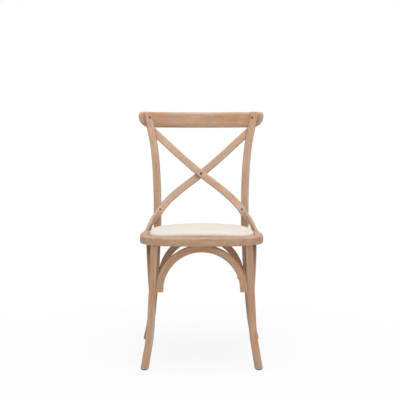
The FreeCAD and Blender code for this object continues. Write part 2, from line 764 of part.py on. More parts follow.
def build():
    """Every sub-part of the chair by node name."""
    posts = make_posts()
    legs = make_front_legs()
    crest = make_crest_rail()
    brace_front = make_brace(True)
    brace_rear = mirrored(make_brace(False))
    arches = {}
    places = arch_places()
    for name, place in places.items():
        arches[name] = trimmed_by_seat(make_arch(*place))

    crest_screws, cross_screws, brace_post_screws = [], [], []
    brace_head_screws, brace_foot_screws = [], []
    holes = []

    def drive(group, head, direction, length):
        group.append(screw(head, direction, length))
        holes.append(screw_hole(head, direction, length))

    crest_screw_z = overall_height - crest_screw_below_top
    for side in (-1, 1):
        x, y = post_centre(crest_screw_z)
        lean = V(0, post_top_y - y, overall_height - crest_screw_z)
        square = lean.cross(V(1, 0, 0)).normalize()
        face_y = y - post_size(crest_screw_z)[1] / 2
        head = V(side * (x - crest_screw_in_from_post), face_y, crest_screw_z) + square * screw_sink
        drive(crest_screws, head, square, crest_screw_length)
    drive(cross_screws, *brace_screw_seat(1, True, 2, False), cross_screw_length)
    for side, in_front in ((1, True), (-1, False)):
        drive(brace_post_screws, *brace_screw_seat(side, in_front, 3, False), brace_post_screw_length)
        drive(brace_head_screws, *brace_screw_seat(side, in_front, 1, True), brace_post_screw_length)
        under_foot = V(side * brace_foot_half_spacing, brace_foot_y, seat_bottom + screw_sink)
        drive(brace_foot_screws, under_foot, V(0, 0, 1), brace_foot_screw_length)

    arch_leg_screws, arch_seat_screws = [], []
    for place in places.values():
        seats, top = arch_screw_seats(place)
        for head, direction in seats:
            drive(arch_leg_screws, head, direction, arch_screw_length)
        drive(arch_seat_screws, *top, arch_screw_length)

    ring = make_seat_ring(posts)
    bolts, washers, nuts, bolt_holes = make_post_bolts()
    dowels = joint_dowels()
    leg_solids = list(legs.values())
    rails = part_ring(cut_all(ring, leg_solids + dowels + bolt_holes))
    board, foam, cover, cloth = make_pad()
    pad_screws = []
    for head in pad_screw_seats():
        drive(pad_screws, head, V(0, 0, 1), pad_screw_length)
    cover_staples = staple_row((seat_rail_width + cover_turn_under) / 2, ledge_z, cover_staple_spacing)
    cloth_staples = staple_row(seat_rail_width + 3 * dust_cloth_inset - pad_side_border,
                               ledge_z - dust_cloth_thickness, cloth_staple_spacing)
    glides = make_glides()

    parts = {}
    wood_holes = holes + bolt_holes + glides
    braces = [brace_front, brace_rear]
    for name, post in posts.items():
        parts["back_post_" + name] = cut_all(post, braces + list(arches.values()) + wood_holes)
    for name, leg in legs.items():
        parts["front_leg_" + name] = cut_all(leg, list(arches.values()) + wood_holes)
    parts["crest_rail"] = cut_all(crest, list(posts.values()) + holes)
    parts["cross_brace_front"] = cut_all(brace_front, holes)
    parts["cross_brace_rear"] = cut_all(brace_rear, holes)
    for name, rail in rails.items():
        parts[name] = cut_all(rail, holes)
    for name, arch in arches.items():
        parts[name] = cut_all(arch, holes)
    staples = cover_staples + cloth_staples
    parts["seat_board"] = cut_all(board, pad_screws + staples)
    parts["seat_foam"] = cut_all(foam, pad_screws)
    parts["seat_cover"] = cut_all(cover, pad_screws + staples)
    parts["seat_dust_cloth"] = cut_all(cloth, staples)
    parts["crest_screws"] = Part.makeCompound(crest_screws)
    parts["cross_screw"] = Part.makeCompound(cross_screws)
    parts["brace_post_screws"] = Part.makeCompound(brace_post_screws)
    parts["brace_head_screws"] = Part.makeCompound(brace_head_screws)
    parts["brace_foot_screws"] = Part.makeCompound(brace_foot_screws)
    parts["arch_leg_screws"] = Part.makeCompound(arch_leg_screws)
    parts["arch_seat_screws"] = Part.makeCompound(arch_seat_screws)
    parts["seat_pad_screws"] = Part.makeCompound(pad_screws)
    parts["seat_frame_dowels"] = Part.makeCompound(dowels)
    parts["post_bolts"] = Part.makeCompound(bolts)
    parts["post_bolt_washers"] = Part.makeCompound(washers)
    parts["barrel_nuts"] = Part.makeCompound(nuts)
    parts["cover_staples"] = Part.makeCompound(cover_staples)
    parts["dust_cloth_staples"] = Part.makeCompound(cloth_staples)
    parts["foot_glides"] = Part.makeCompound(glides)
    return parts


def make_post_bolts():
    """Bolt, washer and barrel nut that draw each back post against the seat frame."""
    z = seat_bottom + bolt_above_seat_bottom
    bolts, washers, nuts, holes = [], [], [], []
    for side in (-1, 1):
        x = side * (post_half_spacing_seat - bolt_in_from_post)
        post_y = post_centre(z)[1]
        seat_y = post_y + post_size(z)[1] / 2 - bolt_sink
        ahead = V(0, -1, 0)
        face = V(x, seat_y, z)
        under_head = face - ahead * washer_thickness
        head_top = under_head - ahead * bolt_head_height
        head = cylinder(head_top, ahead, bolt_head_diameter / 2, bolt_head_height)
        socket = hexagon(head_top, bolt_head_diameter / 4, bolt_head_height / 2)
        shank = cylinder(under_head, ahead, bolt_diameter / 2, bolt_length)
        bolts.append(head.fuse(shank).removeSplitter().cut(socket))
        ring = cylinder(under_head, ahead, washer_diameter / 2, washer_thickness)
        washers.append(ring.cut(cylinder(under_head, ahead, bolt_diameter / 2, washer_thickness)))
        nut_start = V(x, post_front_at_seat - barrel_nut_before_post, seat_bottom)
        nut = cylinder(nut_start, V(0, 0, 1), barrel_nut_diameter / 2, barrel_nut_length)
        nuts.append(nut.cut(shank))
        holes.append(nut)
        holes.append(cylinder(under_head, ahead, bolt_diameter / 2 + fit, bolt_length + fit))
        holes.append(cylinder(face, V(0, 1, 0), washer_diameter / 2 + fit, post_depth))
    return bolts, washers, nuts, holes


def hexagon(start, radius, depth):
    """Hexagonal socket in a bolt head, cut forwards from its top."""
    corners = []
    for k in range(7):
        angle = math.radians(60 * k)
        corners.append(start + V(radius * math.cos(angle), 0, radius * math.sin(angle)))
    return Part.Face(Part.makePolygon(corners)).extrude(V(0, -depth, 0))


os.makedirs("parts", exist_ok=True)
for node, shape in build().items():
    shape.exportStep(os.path.join("parts", node + ".step"))
    print(node, "solids", len(shape.Solids), "volume", round(shape.Volume), "valid", shape.isValid())
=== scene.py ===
import json
import math

import bmesh
import bpy
import numpy as np
from mathutils.bvhtree import BVHTree
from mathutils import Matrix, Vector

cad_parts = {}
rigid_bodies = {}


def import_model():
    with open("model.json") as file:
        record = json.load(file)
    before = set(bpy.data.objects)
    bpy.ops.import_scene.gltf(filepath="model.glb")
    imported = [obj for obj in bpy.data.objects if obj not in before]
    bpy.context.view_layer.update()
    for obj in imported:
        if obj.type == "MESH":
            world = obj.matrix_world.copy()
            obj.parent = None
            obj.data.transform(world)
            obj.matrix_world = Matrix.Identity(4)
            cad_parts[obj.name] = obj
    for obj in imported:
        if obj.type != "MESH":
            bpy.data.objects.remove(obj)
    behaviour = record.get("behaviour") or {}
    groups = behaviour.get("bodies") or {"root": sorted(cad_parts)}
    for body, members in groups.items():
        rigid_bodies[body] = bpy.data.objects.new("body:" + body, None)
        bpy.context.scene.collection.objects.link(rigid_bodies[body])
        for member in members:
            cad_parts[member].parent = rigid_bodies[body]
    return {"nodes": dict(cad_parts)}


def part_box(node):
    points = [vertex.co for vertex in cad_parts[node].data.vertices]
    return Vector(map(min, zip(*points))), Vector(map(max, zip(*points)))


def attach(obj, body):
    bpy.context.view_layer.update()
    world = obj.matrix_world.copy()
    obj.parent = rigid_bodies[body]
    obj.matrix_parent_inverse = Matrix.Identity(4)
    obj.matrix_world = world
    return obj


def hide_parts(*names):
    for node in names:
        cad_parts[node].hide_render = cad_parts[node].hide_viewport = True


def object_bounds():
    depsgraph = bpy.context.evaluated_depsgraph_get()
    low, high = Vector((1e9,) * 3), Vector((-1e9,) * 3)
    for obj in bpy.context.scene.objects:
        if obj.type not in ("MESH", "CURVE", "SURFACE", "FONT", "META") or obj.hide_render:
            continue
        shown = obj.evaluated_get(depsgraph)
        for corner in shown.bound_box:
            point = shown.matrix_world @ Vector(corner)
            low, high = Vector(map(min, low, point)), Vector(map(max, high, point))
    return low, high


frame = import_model()
nodes = frame["nodes"]
cad_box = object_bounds()
overall_height = cad_box[1].z


# Back posts
# Each is one piece of oak, steam bent from foot to crest, with softened corners. It runs behind the
# seat frame and is let into the front of the crest rail, flush with its top.

glide_height = 0.003
seat_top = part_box("seat_back_rail")[1].z
seat_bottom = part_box("seat_back_rail")[0].z
crest_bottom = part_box("crest_rail")[0].z

post_width, post_depth = 0.0285, 0.032
post_foot_width = 0.030
post_top_width, post_top_depth = 0.032, 0.025
post_corner_round = 0.009
post_top_round = 0.006
foot_chamfer = 0.002
post_rings = 90
post_out = (0.211, 0.166, 0.2065)
post_back = (0.192, 0.128, 0.206)

# Share of its length, then of its travel sideways and backwards, that each bend has reached
post_lower_bend = np.array([
    (0.0, 0.0, 0.0), (0.39, 0.21, 0.2), (0.66, 0.44, 0.47), (0.87, 0.71, 0.79), (1.0, 1.0, 1.0),
])
post_upper_bend = np.array([
    (0.0, 0.0, 0.0), (0.23, 0.0, 0.1), (0.49, 0.12, 0.34), (0.68, 0.33, 0.56),
    (0.85, 0.67, 0.82), (0.95, 0.93, 0.95), (1.0, 1.0, 1.0),
])


def bent(table, share):
    """Smooth line through a table's rows: cubic steps, each slope that of the line between a row's
    two neighbours. share is an array of places along the first column."""
    rows = np.clip(np.searchsorted(table[:, 0], share, side="left") - 1, 0, len(table) - 2)
    start, end = table[rows], table[rows + 1]
    before = table[np.maximum(rows - 1, 0)]
    after = table[np.minimum(rows + 2, len(table) - 1)]
    span = end[:, :1] - start[:, :1]
    t = (share[:, None] - start[:, :1]) / span
    slope_in = (end - before) / (end[:, :1] - before[:, :1]) * span
    slope_out = (after - start) / (after[:, :1] - start[:, :1]) * span
    line = ((2 * t ** 3 - 3 * t ** 2 + 1) * start + (t ** 3 - 2 * t ** 2 + t) * slope_in
            + (3 * t ** 2 - 2 * t ** 3) * end + (t ** 3 - t ** 2) * slope_out)
    return line[:, 1:]


def post_centre(z):
    """Half spacing and Y of a post's centre line at an array of heights."""
    low = bent(post_lower_bend, np.clip((seat_top - z) / (seat_top - glide_height), 0, 1))
    high = bent(post_upper_bend, np.clip((z - seat_top) / (overall_height - seat_top), 0, 1))
    foot, seat, top = (np.array(values) for values in zip(post_out, post_back))
    below = seat + (foot - seat) * low
    above = seat + (top - seat) * high
    return np.where((z < seat_top)[:, None], below, above)


def post_size(z):
    """Width and depth of a post at an array of heights: fuller at its foot, finer at its top."""
    crest_height = overall_height - crest_bottom
    foot = np.maximum(0, 1 - z / (seat_bottom / 2))
    top = np.maximum(0, (z - crest_bottom + crest_height) / (2 * crest_height))
    width = post_width + (post_foot_width - post_width) * foot
    width = width + (post_top_width - width) * top
    return width, post_depth + (post_top_depth - post_depth) * top


def corner_profile(steps):
    """Unit outline of a rectangle with rounded corners, counterclockwise: steps points round each
    corner and three along each side. Columns: side of the corner across and up, share of the
    corner's radius across and up, and wear, which is the sine of twice the angle turned."""
    rows = []
    turn = np.linspace(0, np.pi / 2, steps)
    side_places = np.array([[-0.76], [0.0], [0.76]])
    for quarter, (across, up) in enumerate(((1, 1), (-1, 1), (-1, -1), (1, -1))):
        start = np.pi / 2 * quarter
        corner = np.stack([np.full(steps, across), np.full(steps, up), np.cos(start + turn),
                           np.sin(start + turn), np.sin(2 * turn)], 1)
        out = np.array([-math.sin(start), math.cos(start)])
        along = np.array([-out[1], out[0]])
        side = np.hstack([out + along * side_places, np.tile(out, (3, 1)), np.zeros((3, 1))])
        rows.extend([corner, side])
    return np.vstack(rows)


def swept_rings(centre, across, up, width, depth, radius, profile):
    """A rounded rectangle carried along a line: each ring is its centre, plus the profile scaled to
    the ring's width and depth less its corner radius, plus the corner's own arc."""
    x = (profile[:, 0] * (width / 2 - radius)[:, None] + profile[:, 2] * radius[:, None])
    y = (profile[:, 1] * (depth / 2 - radius)[:, None] + profile[:, 3] * radius[:, None])
    rings = centre[:, None] + across[:, None] * x[..., None] + up[:, None] * y[..., None]
    return rings, x, y


weld_distance = 1e-6
sharp_from = math.radians(38)


def closed_member(name, rings, length, x, y, wear_and_painted_shade, offset, capped=True):
    """Piece from rings of points, closed by a fan at each end unless its end rings are shut.
    The attribute grain holds the place along the wood's length and across it, in metres, moved by
    the offset. The second attribute holds how rubbed the wood's surface is, and on screws the
    painted shade of their cross recess and of the ring round the head."""
    count, around = rings.shape[:2]
    points = np.vstack([rings.reshape(-1, 3), rings[0].mean(0), rings[-1].mean(0)])
    ring = np.arange(count - 1)[:, None] * around
    here = np.arange(around)[None]
    there = (here + 1) % around
    quads = np.stack([ring + here, ring + there, ring + around + there, ring + around + here], -1)
    last = (count - 1) * around
    first_fan = np.stack([np.full(around, count * around), there[0], here[0]], -1)
    last_fan = np.stack([np.full(around, count * around + 1), last + here[0], last + there[0]], -1)
    mesh = bpy.data.meshes.new(name)
    faces = quads.reshape(-1, 4).tolist()
    if capped:
        faces += first_fan.tolist() + last_fan.tolist()
    mesh.from_pydata(points.tolist(), [], faces)
    along = np.broadcast_to(length[:, None], x.shape)
    grain = np.stack([along, x, y], -1).reshape(-1, 3)
    grain = np.vstack([grain, [length[0], 0, 0], [length[-1], 0, 0]]) + offset
    mesh.attributes.new("grain", "FLOAT_VECTOR", "POINT").data.foreach_set("vector", grain.ravel())
    # Wear on the wood. On screws these values are painted shade, not wear.
    wear_and_shade_values = np.append(np.broadcast_to(wear_and_painted_shade, x.shape).ravel(), [0.0, 0.0])
    mesh.attributes.new("wear_and_painted_shade", "FLOAT", "POINT").data.foreach_set("value", wear_and_shade_values)
    shell = bmesh.new()
    shell.from_mesh(mesh)
    bmesh.ops.remove_doubles(shell, verts=shell.verts, dist=weld_distance)
    loose = [vert for vert in shell.verts if not vert.link_faces]
    bmesh.ops.delete(shell, geom=loose, context="VERTS")
    bmesh.ops.recalc_face_normals(shell, faces=shell.faces)
    shell.to_mesh(mesh)
    shell.free()
    mesh.shade_smooth()
    mesh.set_sharp_from_angle(angle=sharp_from)
    piece = bpy.data.objects.new(name, mesh)
    bpy.context.scene.collection.objects.link(piece)
    return piece


def travelled(points):
    """Distance along a line of points, from its start."""
    return np.append(0, np.cumsum(np.linalg.norm(np.diff(points, axis=0), axis=1)))


def linear(colour):
    """Linear colour of an sRGB hex value."""
    value = np.array([int(colour[i:i + 2], 16) for i in (1, 3, 5)]) / 255
    value = np.where(value <= 0.04045, value / 12.92, ((value + 0.055) / 1.055) ** 2.4)
    return (*value.tolist(), 1.0)


def blank_material(name):
    """A new material and its empty node tree."""
    material = bpy.data.materials.new(name)
    material.use_nodes = True
    material.node_tree.nodes.clear()
    return material, material.node_tree


def add(tree, kind, inputs, **settings):
    """Adds a node, gives it its settings, and sets or links each of its inputs. By number, a colour
    mix has its share at 0, its colours at 6 and 7 and its result at output 2, and a map range has
    its old limits at 1 and 2 and its new ones at 3 and 4."""
    node = tree.nodes.new(kind)
    for key, value in settings.items():
        setattr(node, key, value)
    for key, value in inputs.items():
        if isinstance(value, bpy.types.NodeSocket):
            tree.links.new(value, node.inputs[key])
        else:
            node.inputs[key].default_value = value
    return node


def limed_oak(name, grain_at, worn_at, lime):
    """Solid oak, weathered and limed, then matt waxed: brown that drifts between grey, pink and
    orange along the board, with straight, soft grain, short dark pores and chalky grey left on its
    rubbed edges. grain_at and worn_at add the nodes that give the place in the wood and the wear,
    and lime is how much chalky grey is left all over."""
    material, tree = blank_material(name)
    place = grain_at(tree)
    figure_size = (0.34, 0.013, 0.013)
    fibre_size = (0.045, 0.0011, 0.0011)
    pore_size = (0.011, 0.0006, 0.0006)
    patch_size = (0.16, 0.045, 0.045)
    tone_size = (0.085, 0.024, 0.024)
    figure_at, fibre_at, pore_at, patch_at, tone_at = [
        add(tree, "ShaderNodeVectorMath", {0: place, 1: size}, operation="DIVIDE").outputs[0]
        for size in (figure_size, fibre_size, pore_size, patch_size, tone_size)]
    figure = add(tree, "ShaderNodeTexNoise", {"Vector": figure_at, "Scale": 1.0, "Detail": 4.0,
                                              "Roughness": 0.55, "Distortion": 0.7})
    rings = add(tree, "ShaderNodeMath", {0: figure.outputs[0], 1: 26.0}, operation="MULTIPLY")
    rings = add(tree, "ShaderNodeMath", {0: rings.outputs[0]}, operation="SINE")
    rings = add(tree, "ShaderNodeMapRange", {"Value": rings.outputs[0], 1: -1.0, 2: 1.0})
    fibre = add(tree, "ShaderNodeTexNoise", {"Vector": fibre_at, "Scale": 1.0, "Detail": 3.0,
                                             "Roughness": 0.6})
    pore = add(tree, "ShaderNodeTexNoise", {"Vector": pore_at, "Scale": 1.0, "Detail": 1.0})
    pore = add(tree, "ShaderNodeMapRange", {"Value": pore.outputs[0], 1: 0.60, 2: 0.72},
               interpolation_type="SMOOTHSTEP")
    patch = add(tree, "ShaderNodeTexNoise", {"Vector": patch_at, "Scale": 1.0, "Detail": 3.0})
    patch = add(tree, "ShaderNodeMapRange", {"Value": patch.outputs[0], 1: 0.36, 2: 0.66},
                interpolation_type="SMOOTHSTEP")
    wood = add(tree, "ShaderNodeMix", {0: patch.outputs[0], 6: linear("#AE8261"),
                                       7: linear("#C69B78")}, data_type="RGBA")
    tone = add(tree, "ShaderNodeTexNoise", {"Vector": tone_at, "Scale": 1.0, "Detail": 2.0})
    drift = add(tree, "ShaderNodeValToRGB", {0: tone.outputs[0]})
    grey, brown, orange, pink = "#A8998A", "#B99672", "#BC8257", "#CFA392"
    tones = ((0.34, grey), (0.45, brown), (0.55, orange), (0.66, pink))
    stops = drift.color_ramp.elements
    while len(stops) < len(tones):
        stops.new(1.0)
    for stop, (share, colour) in zip(stops, tones):
        stop.position = share
        stop.color = linear(colour)
    wood = add(tree, "ShaderNodeMix", {0: 0.6, 6: wood.outputs[2], 7: drift.outputs[0]},
               data_type="RGBA")
    share = add(tree, "ShaderNodeMath", {0: rings.outputs[0], 1: 0.34}, operation="MULTIPLY")
    wood = add(tree, "ShaderNodeMix", {0: share.outputs[0], 6: wood.outputs[2],
                                       7: linear("#97694C")}, data_type="RGBA")
    pale = add(tree, "ShaderNodeMapRange", {"Value": fibre.outputs[0], 1: 0.44, 2: 0.70, 4: 0.55})
    wood = add(tree, "ShaderNodeMix", {0: pale.outputs[0], 6: wood.outputs[2],
                                       7: linear("#DDB894")}, data_type="RGBA")
    dark = add(tree, "ShaderNodeMath", {0: pore.outputs[0], 1: 0.55}, operation="MULTIPLY")
    wood = add(tree, "ShaderNodeMix", {0: dark.outputs[0], 6: wood.outputs[2],
                                       7: linear("#6F5443")}, data_type="RGBA")
    rubbed = add(tree, "ShaderNodeMath", {0: worn_at(tree), 1: patch.outputs[0]},
                 operation="MULTIPLY")
    chalk = add(tree, "ShaderNodeMath", {0: rubbed.outputs[0], 1: 0.5, 2: lime},
                operation="MULTIPLY_ADD")
    wood = add(tree, "ShaderNodeMix", {0: chalk.outputs[0], 6: wood.outputs[2],
                                       7: linear("#CBBCAB")}, data_type="RGBA")
    rough = add(tree, "ShaderNodeMapRange", {"Value": fibre.outputs[0], 3: 0.42, 4: 0.62})
    deep = add(tree, "ShaderNodeMath", {0: pore.outputs[0], 1: -0.8, 2: fibre.outputs[0]},
               operation="MULTIPLY_ADD")
    bump = add(tree, "ShaderNodeBump", {"Strength": 0.35, "Distance": 0.0004,
                                        "Height": deep.outputs[0]})
    shader = add(tree, "ShaderNodeBsdfPrincipled", {
        "Base Color": wood.outputs[2], "Roughness": rough.outputs[0], "Normal": bump.outputs[0],
        "IOR": 1.46, "Specular IOR Level": 0.5})
    add(tree, "ShaderNodeOutputMaterial", {"Surface": shader.outputs[0]})
    return material


def grain_attribute(tree):
    """Place in the wood, from the piece's own attribute."""
    return add(tree, "ShaderNodeAttribute", {}, attribute_name="grain").outputs["Vector"]


def worn_attribute(tree):
    """Wear, from the piece's own attribute."""
    return add(tree, "ShaderNodeAttribute", {}, attribute_name="wear_and_painted_shade").outputs["Fac"]


bent_oak = limed_oak("limed oak, steam bent", grain_attribute, worn_attribute, 0.05)
upright_profile = corner_profile(6)


def eased_ends(z, most, at_foot, at_top):
    """Heights of a standing member's rings with more at its ends, and how far each ring draws in,
    the most at most: a straight chamfer at the foot, and at the top a quarter circle."""
    turn = np.radians(np.linspace(0, 90, 5))
    low, high = z[0], z[-1]
    body = z[(z > low + at_foot) & (z < high - at_top)]
    heights = np.concatenate([[low, low + at_foot], body, high - at_top + at_top * np.sin(turn)])
    inset = np.concatenate([[at_foot, 0], np.zeros(len(body)), at_top * (1 - np.cos(turn))])
    return heights, np.minimum(inset, most)


for number, side in enumerate((-1, 1)):
    z, inset = eased_ends(np.linspace(glide_height, overall_height, post_rings),
                          post_corner_round - 0.001, foot_chamfer, post_top_round)
    out, back = post_centre(z).T
    width, depth = post_size(z)
    centre = np.stack([side * out, back, z], 1)
    rings, x, y = swept_rings(
        centre, np.tile([1.0, 0, 0], (len(z), 1)), np.tile([0, 1.0, 0], (len(z), 1)),
        width - 2 * inset, depth - 2 * inset, post_corner_round - inset, upright_profile)
    name = "back_post_" + ("left", "right")[number]
    post = closed_member("bent_" + name, rings, travelled(centre), x, y, upright_profile[:, 4],
                         np.array([0.31, 0.07, 0.11]) * (number + 1))
    post.data.materials.append(bent_oak)
    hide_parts(name)
    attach(post, "root")


# Front legs
# Slim sabre legs that sweep out and forward towards the foot. Each has a round tenon, glued into
# the underside of the seat frame.

leg_width, leg_foot_width = 0.025, 0.0275
leg_corner_round = 0.008
leg_rings = 60
leg_into_frame = 0.002
leg_out = (0.1595, 0.192)
leg_forward = (-0.212, -0.240)
leg_bend = np.array([
    (0.0, 0.0, 0.0), (0.24, 0.12, 0.02), (0.53, 0.31, 0.12), (0.66, 0.38, 0.22),
    (0.79, 0.56, 0.43), (0.9, 0.79, 0.71), (1.0, 1.0, 1.0),
])


def leg_centre(z):
    """Half spacing and Y of a front leg's centre line at an array of heights."""
    share = bent(leg_bend, np.clip((seat_bottom - z) / (seat_bottom - glide_height), 0, 1))
    top, foot = (np.array(values) for values in zip(leg_out, leg_forward))
    return top + (foot - top) * share


def leg_size(z):
    """Width of a front leg, as deep as it is wide, at an array of heights: fuller at its foot."""
    return leg_width + (leg_foot_width - leg_width) * np.maximum(0, 1 - z / (seat_bottom / 2))


for number, side in enumerate((-1, 1)):
    z, inset = eased_ends(np.linspace(glide_height, seat_bottom + leg_into_frame, leg_rings),
                          foot_chamfer, foot_chamfer, 0.0)
    out, forward = leg_centre(z).T
    size = leg_size(z) - 2 * inset
    centre = np.stack([side * out, forward, z], 1)
    rings, x, y = swept_rings(
        centre, np.tile([1.0, 0, 0], (len(z), 1)), np.tile([0, 1.0, 0], (len(z), 1)),
        size, size, leg_corner_round - inset, upright_profile)
    name = "front_leg_" + ("left", "right")[number]
    leg = closed_member("sabre_" + name, rings, travelled(centre), x, y, upright_profile[:, 4],
                        np.array([0.83, 0.19, 0.05]) * (number + 1))
    leg.data.materials.append(bent_oak)
    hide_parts(name)
    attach(leg, "root")


# Crest rail
# A thick rail, steam bent in plan so that its ends come forward, with small rounded corners above
# and large ones below, and both broad faces softened all round.

crest_low, crest_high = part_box("crest_rail")
crest_half = crest_high.x
crest_thickness = 0.028
crest_bow = 0.047
crest_top_corner, crest_bottom_corner = 0.014, 0.042
crest_edge_round = 0.010


def crest_outline(corner, rise):
    """Half of the rail's front outline, from the middle of its edge to the middle of its end, as
    distance out, height above or below, and outward normal: a straight run, an arc, a short
    upright."""
    run = crest_half - corner
    arc = np.radians(np.linspace(90, 0, 14))
    flat = np.linspace(0, run, 26)[:-1]
    out = np.concatenate([flat, run + corner * np.cos(arc)])
    up = np.concatenate([np.full(len(flat), rise), rise - corner + corner * np.sin(arc)])
    normal = np.concatenate([np.tile([0.0, 1.0], (len(flat), 1)),
                             np.stack([np.cos(arc), np.sin(arc)], 1)])
    return out, up, normal


def crest_rail(name, offset):
    """The rail's skin in rings round its section: up the front face, over the top, down the back
    and under. Each ring joins the same step of the upper and the lower outline, and the whole is
    then laid on the bow's circle."""
    middle = (crest_low.z + crest_high.z) / 2
    half_height = (crest_high.z - crest_low.z) / 2
    upper = crest_outline(crest_top_corner, half_height)
    lower = crest_outline(crest_bottom_corner, half_height)
    turn = np.radians(np.linspace(0, 90, 6))
    inset = crest_edge_round * (1 - np.sin(turn))
    depth = crest_thickness / 2 - crest_edge_round * (1 - np.cos(turn))
    face_places = np.array([0.12, 0.37, 0.63, 0.88])
    face_depth = np.full(len(face_places), crest_thickness / 2)
    sides = []
    for way in (-1, 1):
        rims = []
        for (out, up, normal), rise in ((upper, 1), (lower, -1)):
            drawn = np.stack([out, up], -1)[None] - normal[None] * inset[:, None, None]
            rims.append(drawn * np.array([way, rise]))
        high, low = rims
        face = low[:1] + (high[:1] - low[:1]) * face_places[:, None, None]
        loop = np.concatenate([high, high[::-1], face[::-1], low, low[::-1], face])
        deep = np.concatenate([-depth, depth[::-1], face_depth, depth, -depth[::-1], -face_depth])
        sides.append(np.concatenate([loop, np.broadcast_to(deep[:, None, None],
                                                           (*loop.shape[:2], 1))], 2))
    shape = np.concatenate([sides[0][:, ::-1], sides[1][:, 1:]], 1).transpose(1, 0, 2)
    wear_and_painted_shade = np.concatenate([np.sin(2 * turn), np.sin(2 * turn)[::-1], 0 * face_places] * 2)
    radius = (crest_half ** 2 + crest_bow ** 2) / (2 * crest_bow)
    x, z, d = shape[..., 0], shape[..., 1].copy(), shape[..., 2]
    end_middle = (crest_bottom_corner - crest_top_corner) / 2
    z[[0, -1]] = end_middle
    centre_y = crest_high.y - crest_thickness / 2 - radius
    rings = np.stack([x, centre_y + np.sqrt((radius + d) ** 2 - x ** 2), middle + z], -1)
    length = radius * np.arcsin(x[:, len(turn)] / radius)
    return closed_member(name, rings, length, d, z, wear_and_painted_shade, offset, capped=False)


crest = crest_rail("bent_crest_rail", np.array([0.4, 0.23, 0.02]))
crest.data.materials.append(bent_oak)
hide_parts("crest_rail")
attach(crest, "root")


# Cross braces
# Two bent oak strips. Each is screwed behind one post under the crest rail, crosses in front of or
# behind its fellow, is screwed to the front of the other post, then twists down to the seat frame.

brace_width, brace_thickness = 0.028, 0.011
brace_corner_round = 0.004
brace_let_in = 0.0015
brace_cross_gap = 0.00025
brace_cross_height, brace_cross_back = 0.648, 0.166
brace_head_below_crest, brace_head_in = 0.014, 0.0049
brace_screw_height, brace_screw_in = 0.512, 0.0115
brace_foot_out, brace_foot_back = 0.1955, 0.006
brace_rings = 130
brace_end_gap = 0.0002

# Shares of the travel outwards, forwards and down along the bend, and the direction of the
# strip's wide side there
brace_bend = np.array([
    (0.2, 0.1, 0.19, 0.25, -0.05, 0.86), (0.46, 0.27, 0.39, 0.12, -0.18, 0.91),
    (0.72, 0.59, 0.61, 0.02, -0.34, 0.92), (1.0, 1.0, 1.0, -0.05, -0.48, 0.87),
])


def smooth_line(points, marks, at):
    """Cubic spline through points at their marks, with no bend at its two ends: its second
    derivatives come from one set of linear equations."""
    count = len(points)
    gap = np.diff(marks)
    matrix = np.eye(count)
    known = np.zeros_like(points)
    for k in range(1, count - 1):
        matrix[k, k - 1:k + 2] = gap[k - 1], 2 * (gap[k - 1] + gap[k]), gap[k]
        slope_in = (points[k] - points[k - 1]) / gap[k - 1]
        slope_out = (points[k + 1] - points[k]) / gap[k]
        known[k] = 6 * (slope_out - slope_in)
    curl = np.linalg.solve(matrix, known)
    span = np.clip(np.searchsorted(marks, at, side="right") - 1, 0, count - 2)
    h = gap[span][:, None]
    low = (marks[span + 1] - at)[:, None] / h
    high = (at - marks[span])[:, None] / h
    return (low * points[span] + high * points[span + 1]
            + ((low ** 3 - low) * curl[span] + (high ** 3 - high) * curl[span + 1]) * h ** 2 / 6)


def unit(vectors):
    """The same directions, each one long."""
    return vectors / np.linalg.norm(vectors, axis=-1, keepdims=True)


def brace_path(in_front):
    """Centre line of a brace, its run and its wide side: square to the run and lying in the
    sloping plane of the back, then turning with the bend to its foot."""
    head_z = crest_bottom - brace_head_below_crest
    heights = np.array([head_z, brace_screw_height])
    (head_out, head_back), (low_out, low_back) = post_centre(heights)
    head_depth, low_depth = post_size(heights)[1] / 2 + brace_thickness / 2 - brace_let_in
    head_back, low_back = head_back + head_depth, low_back - low_depth
    lean = math.atan2(head_back - low_back, head_z - brace_screw_height)
    apart = (brace_thickness + brace_cross_gap) / 2 / math.cos(lean)
    cross_back = brace_cross_back - apart if in_front else brace_cross_back + apart
    head = np.array([brace_head_in - head_out, head_back, head_z])
    cross = np.array([0, cross_back, brace_cross_height])
    low = np.array([low_out - brace_screw_in, low_back, brace_screw_height])
    foot = np.array([brace_foot_out, brace_foot_back, seat_top])
    bend = low + (foot - low) * brace_bend[:, :3]
    above_head = head + unit(head - cross) * brace_width
    points = np.vstack([above_head, head, cross, low, bend, foot + (foot - bend[-2]) * 0.8])
    marks = travelled(points)
    at = np.linspace(marks[0], marks[-1], brace_rings)
    line = smooth_line(points, marks, at)
    run = unit(np.gradient(line, at, axis=0))
    square = unit(np.stack([np.zeros(len(at)), -run[:, 2], run[:, 1]], 1))
    wide = unit(np.cross(run, square))
    at_screw = marks[3]
    steps = np.vstack([wide[np.searchsorted(at, at_screw)], brace_bend[:, 3:], brace_bend[-1:, 3:]])
    turned = np.stack([np.interp(at, marks[3:], column) for column in steps.T], 1)
    wide = np.where((at > at_screw)[:, None], turned, wide)
    wide = unit(wide - run * (wide * run).sum(1, keepdims=True))
    return line, run, wide


def cut_level(rings, run, height, keep_above):
    """Rings past a level plane are slid back along the run on to it, so the member ends in a
    mitre."""
    past = rings[..., 2] < height if keep_above else rings[..., 2] > height
    slide = (height - rings[..., 2]) / run[:, None, 2]
    return np.where(past[..., None], rings + run[:, None] * slide[..., None], rings)


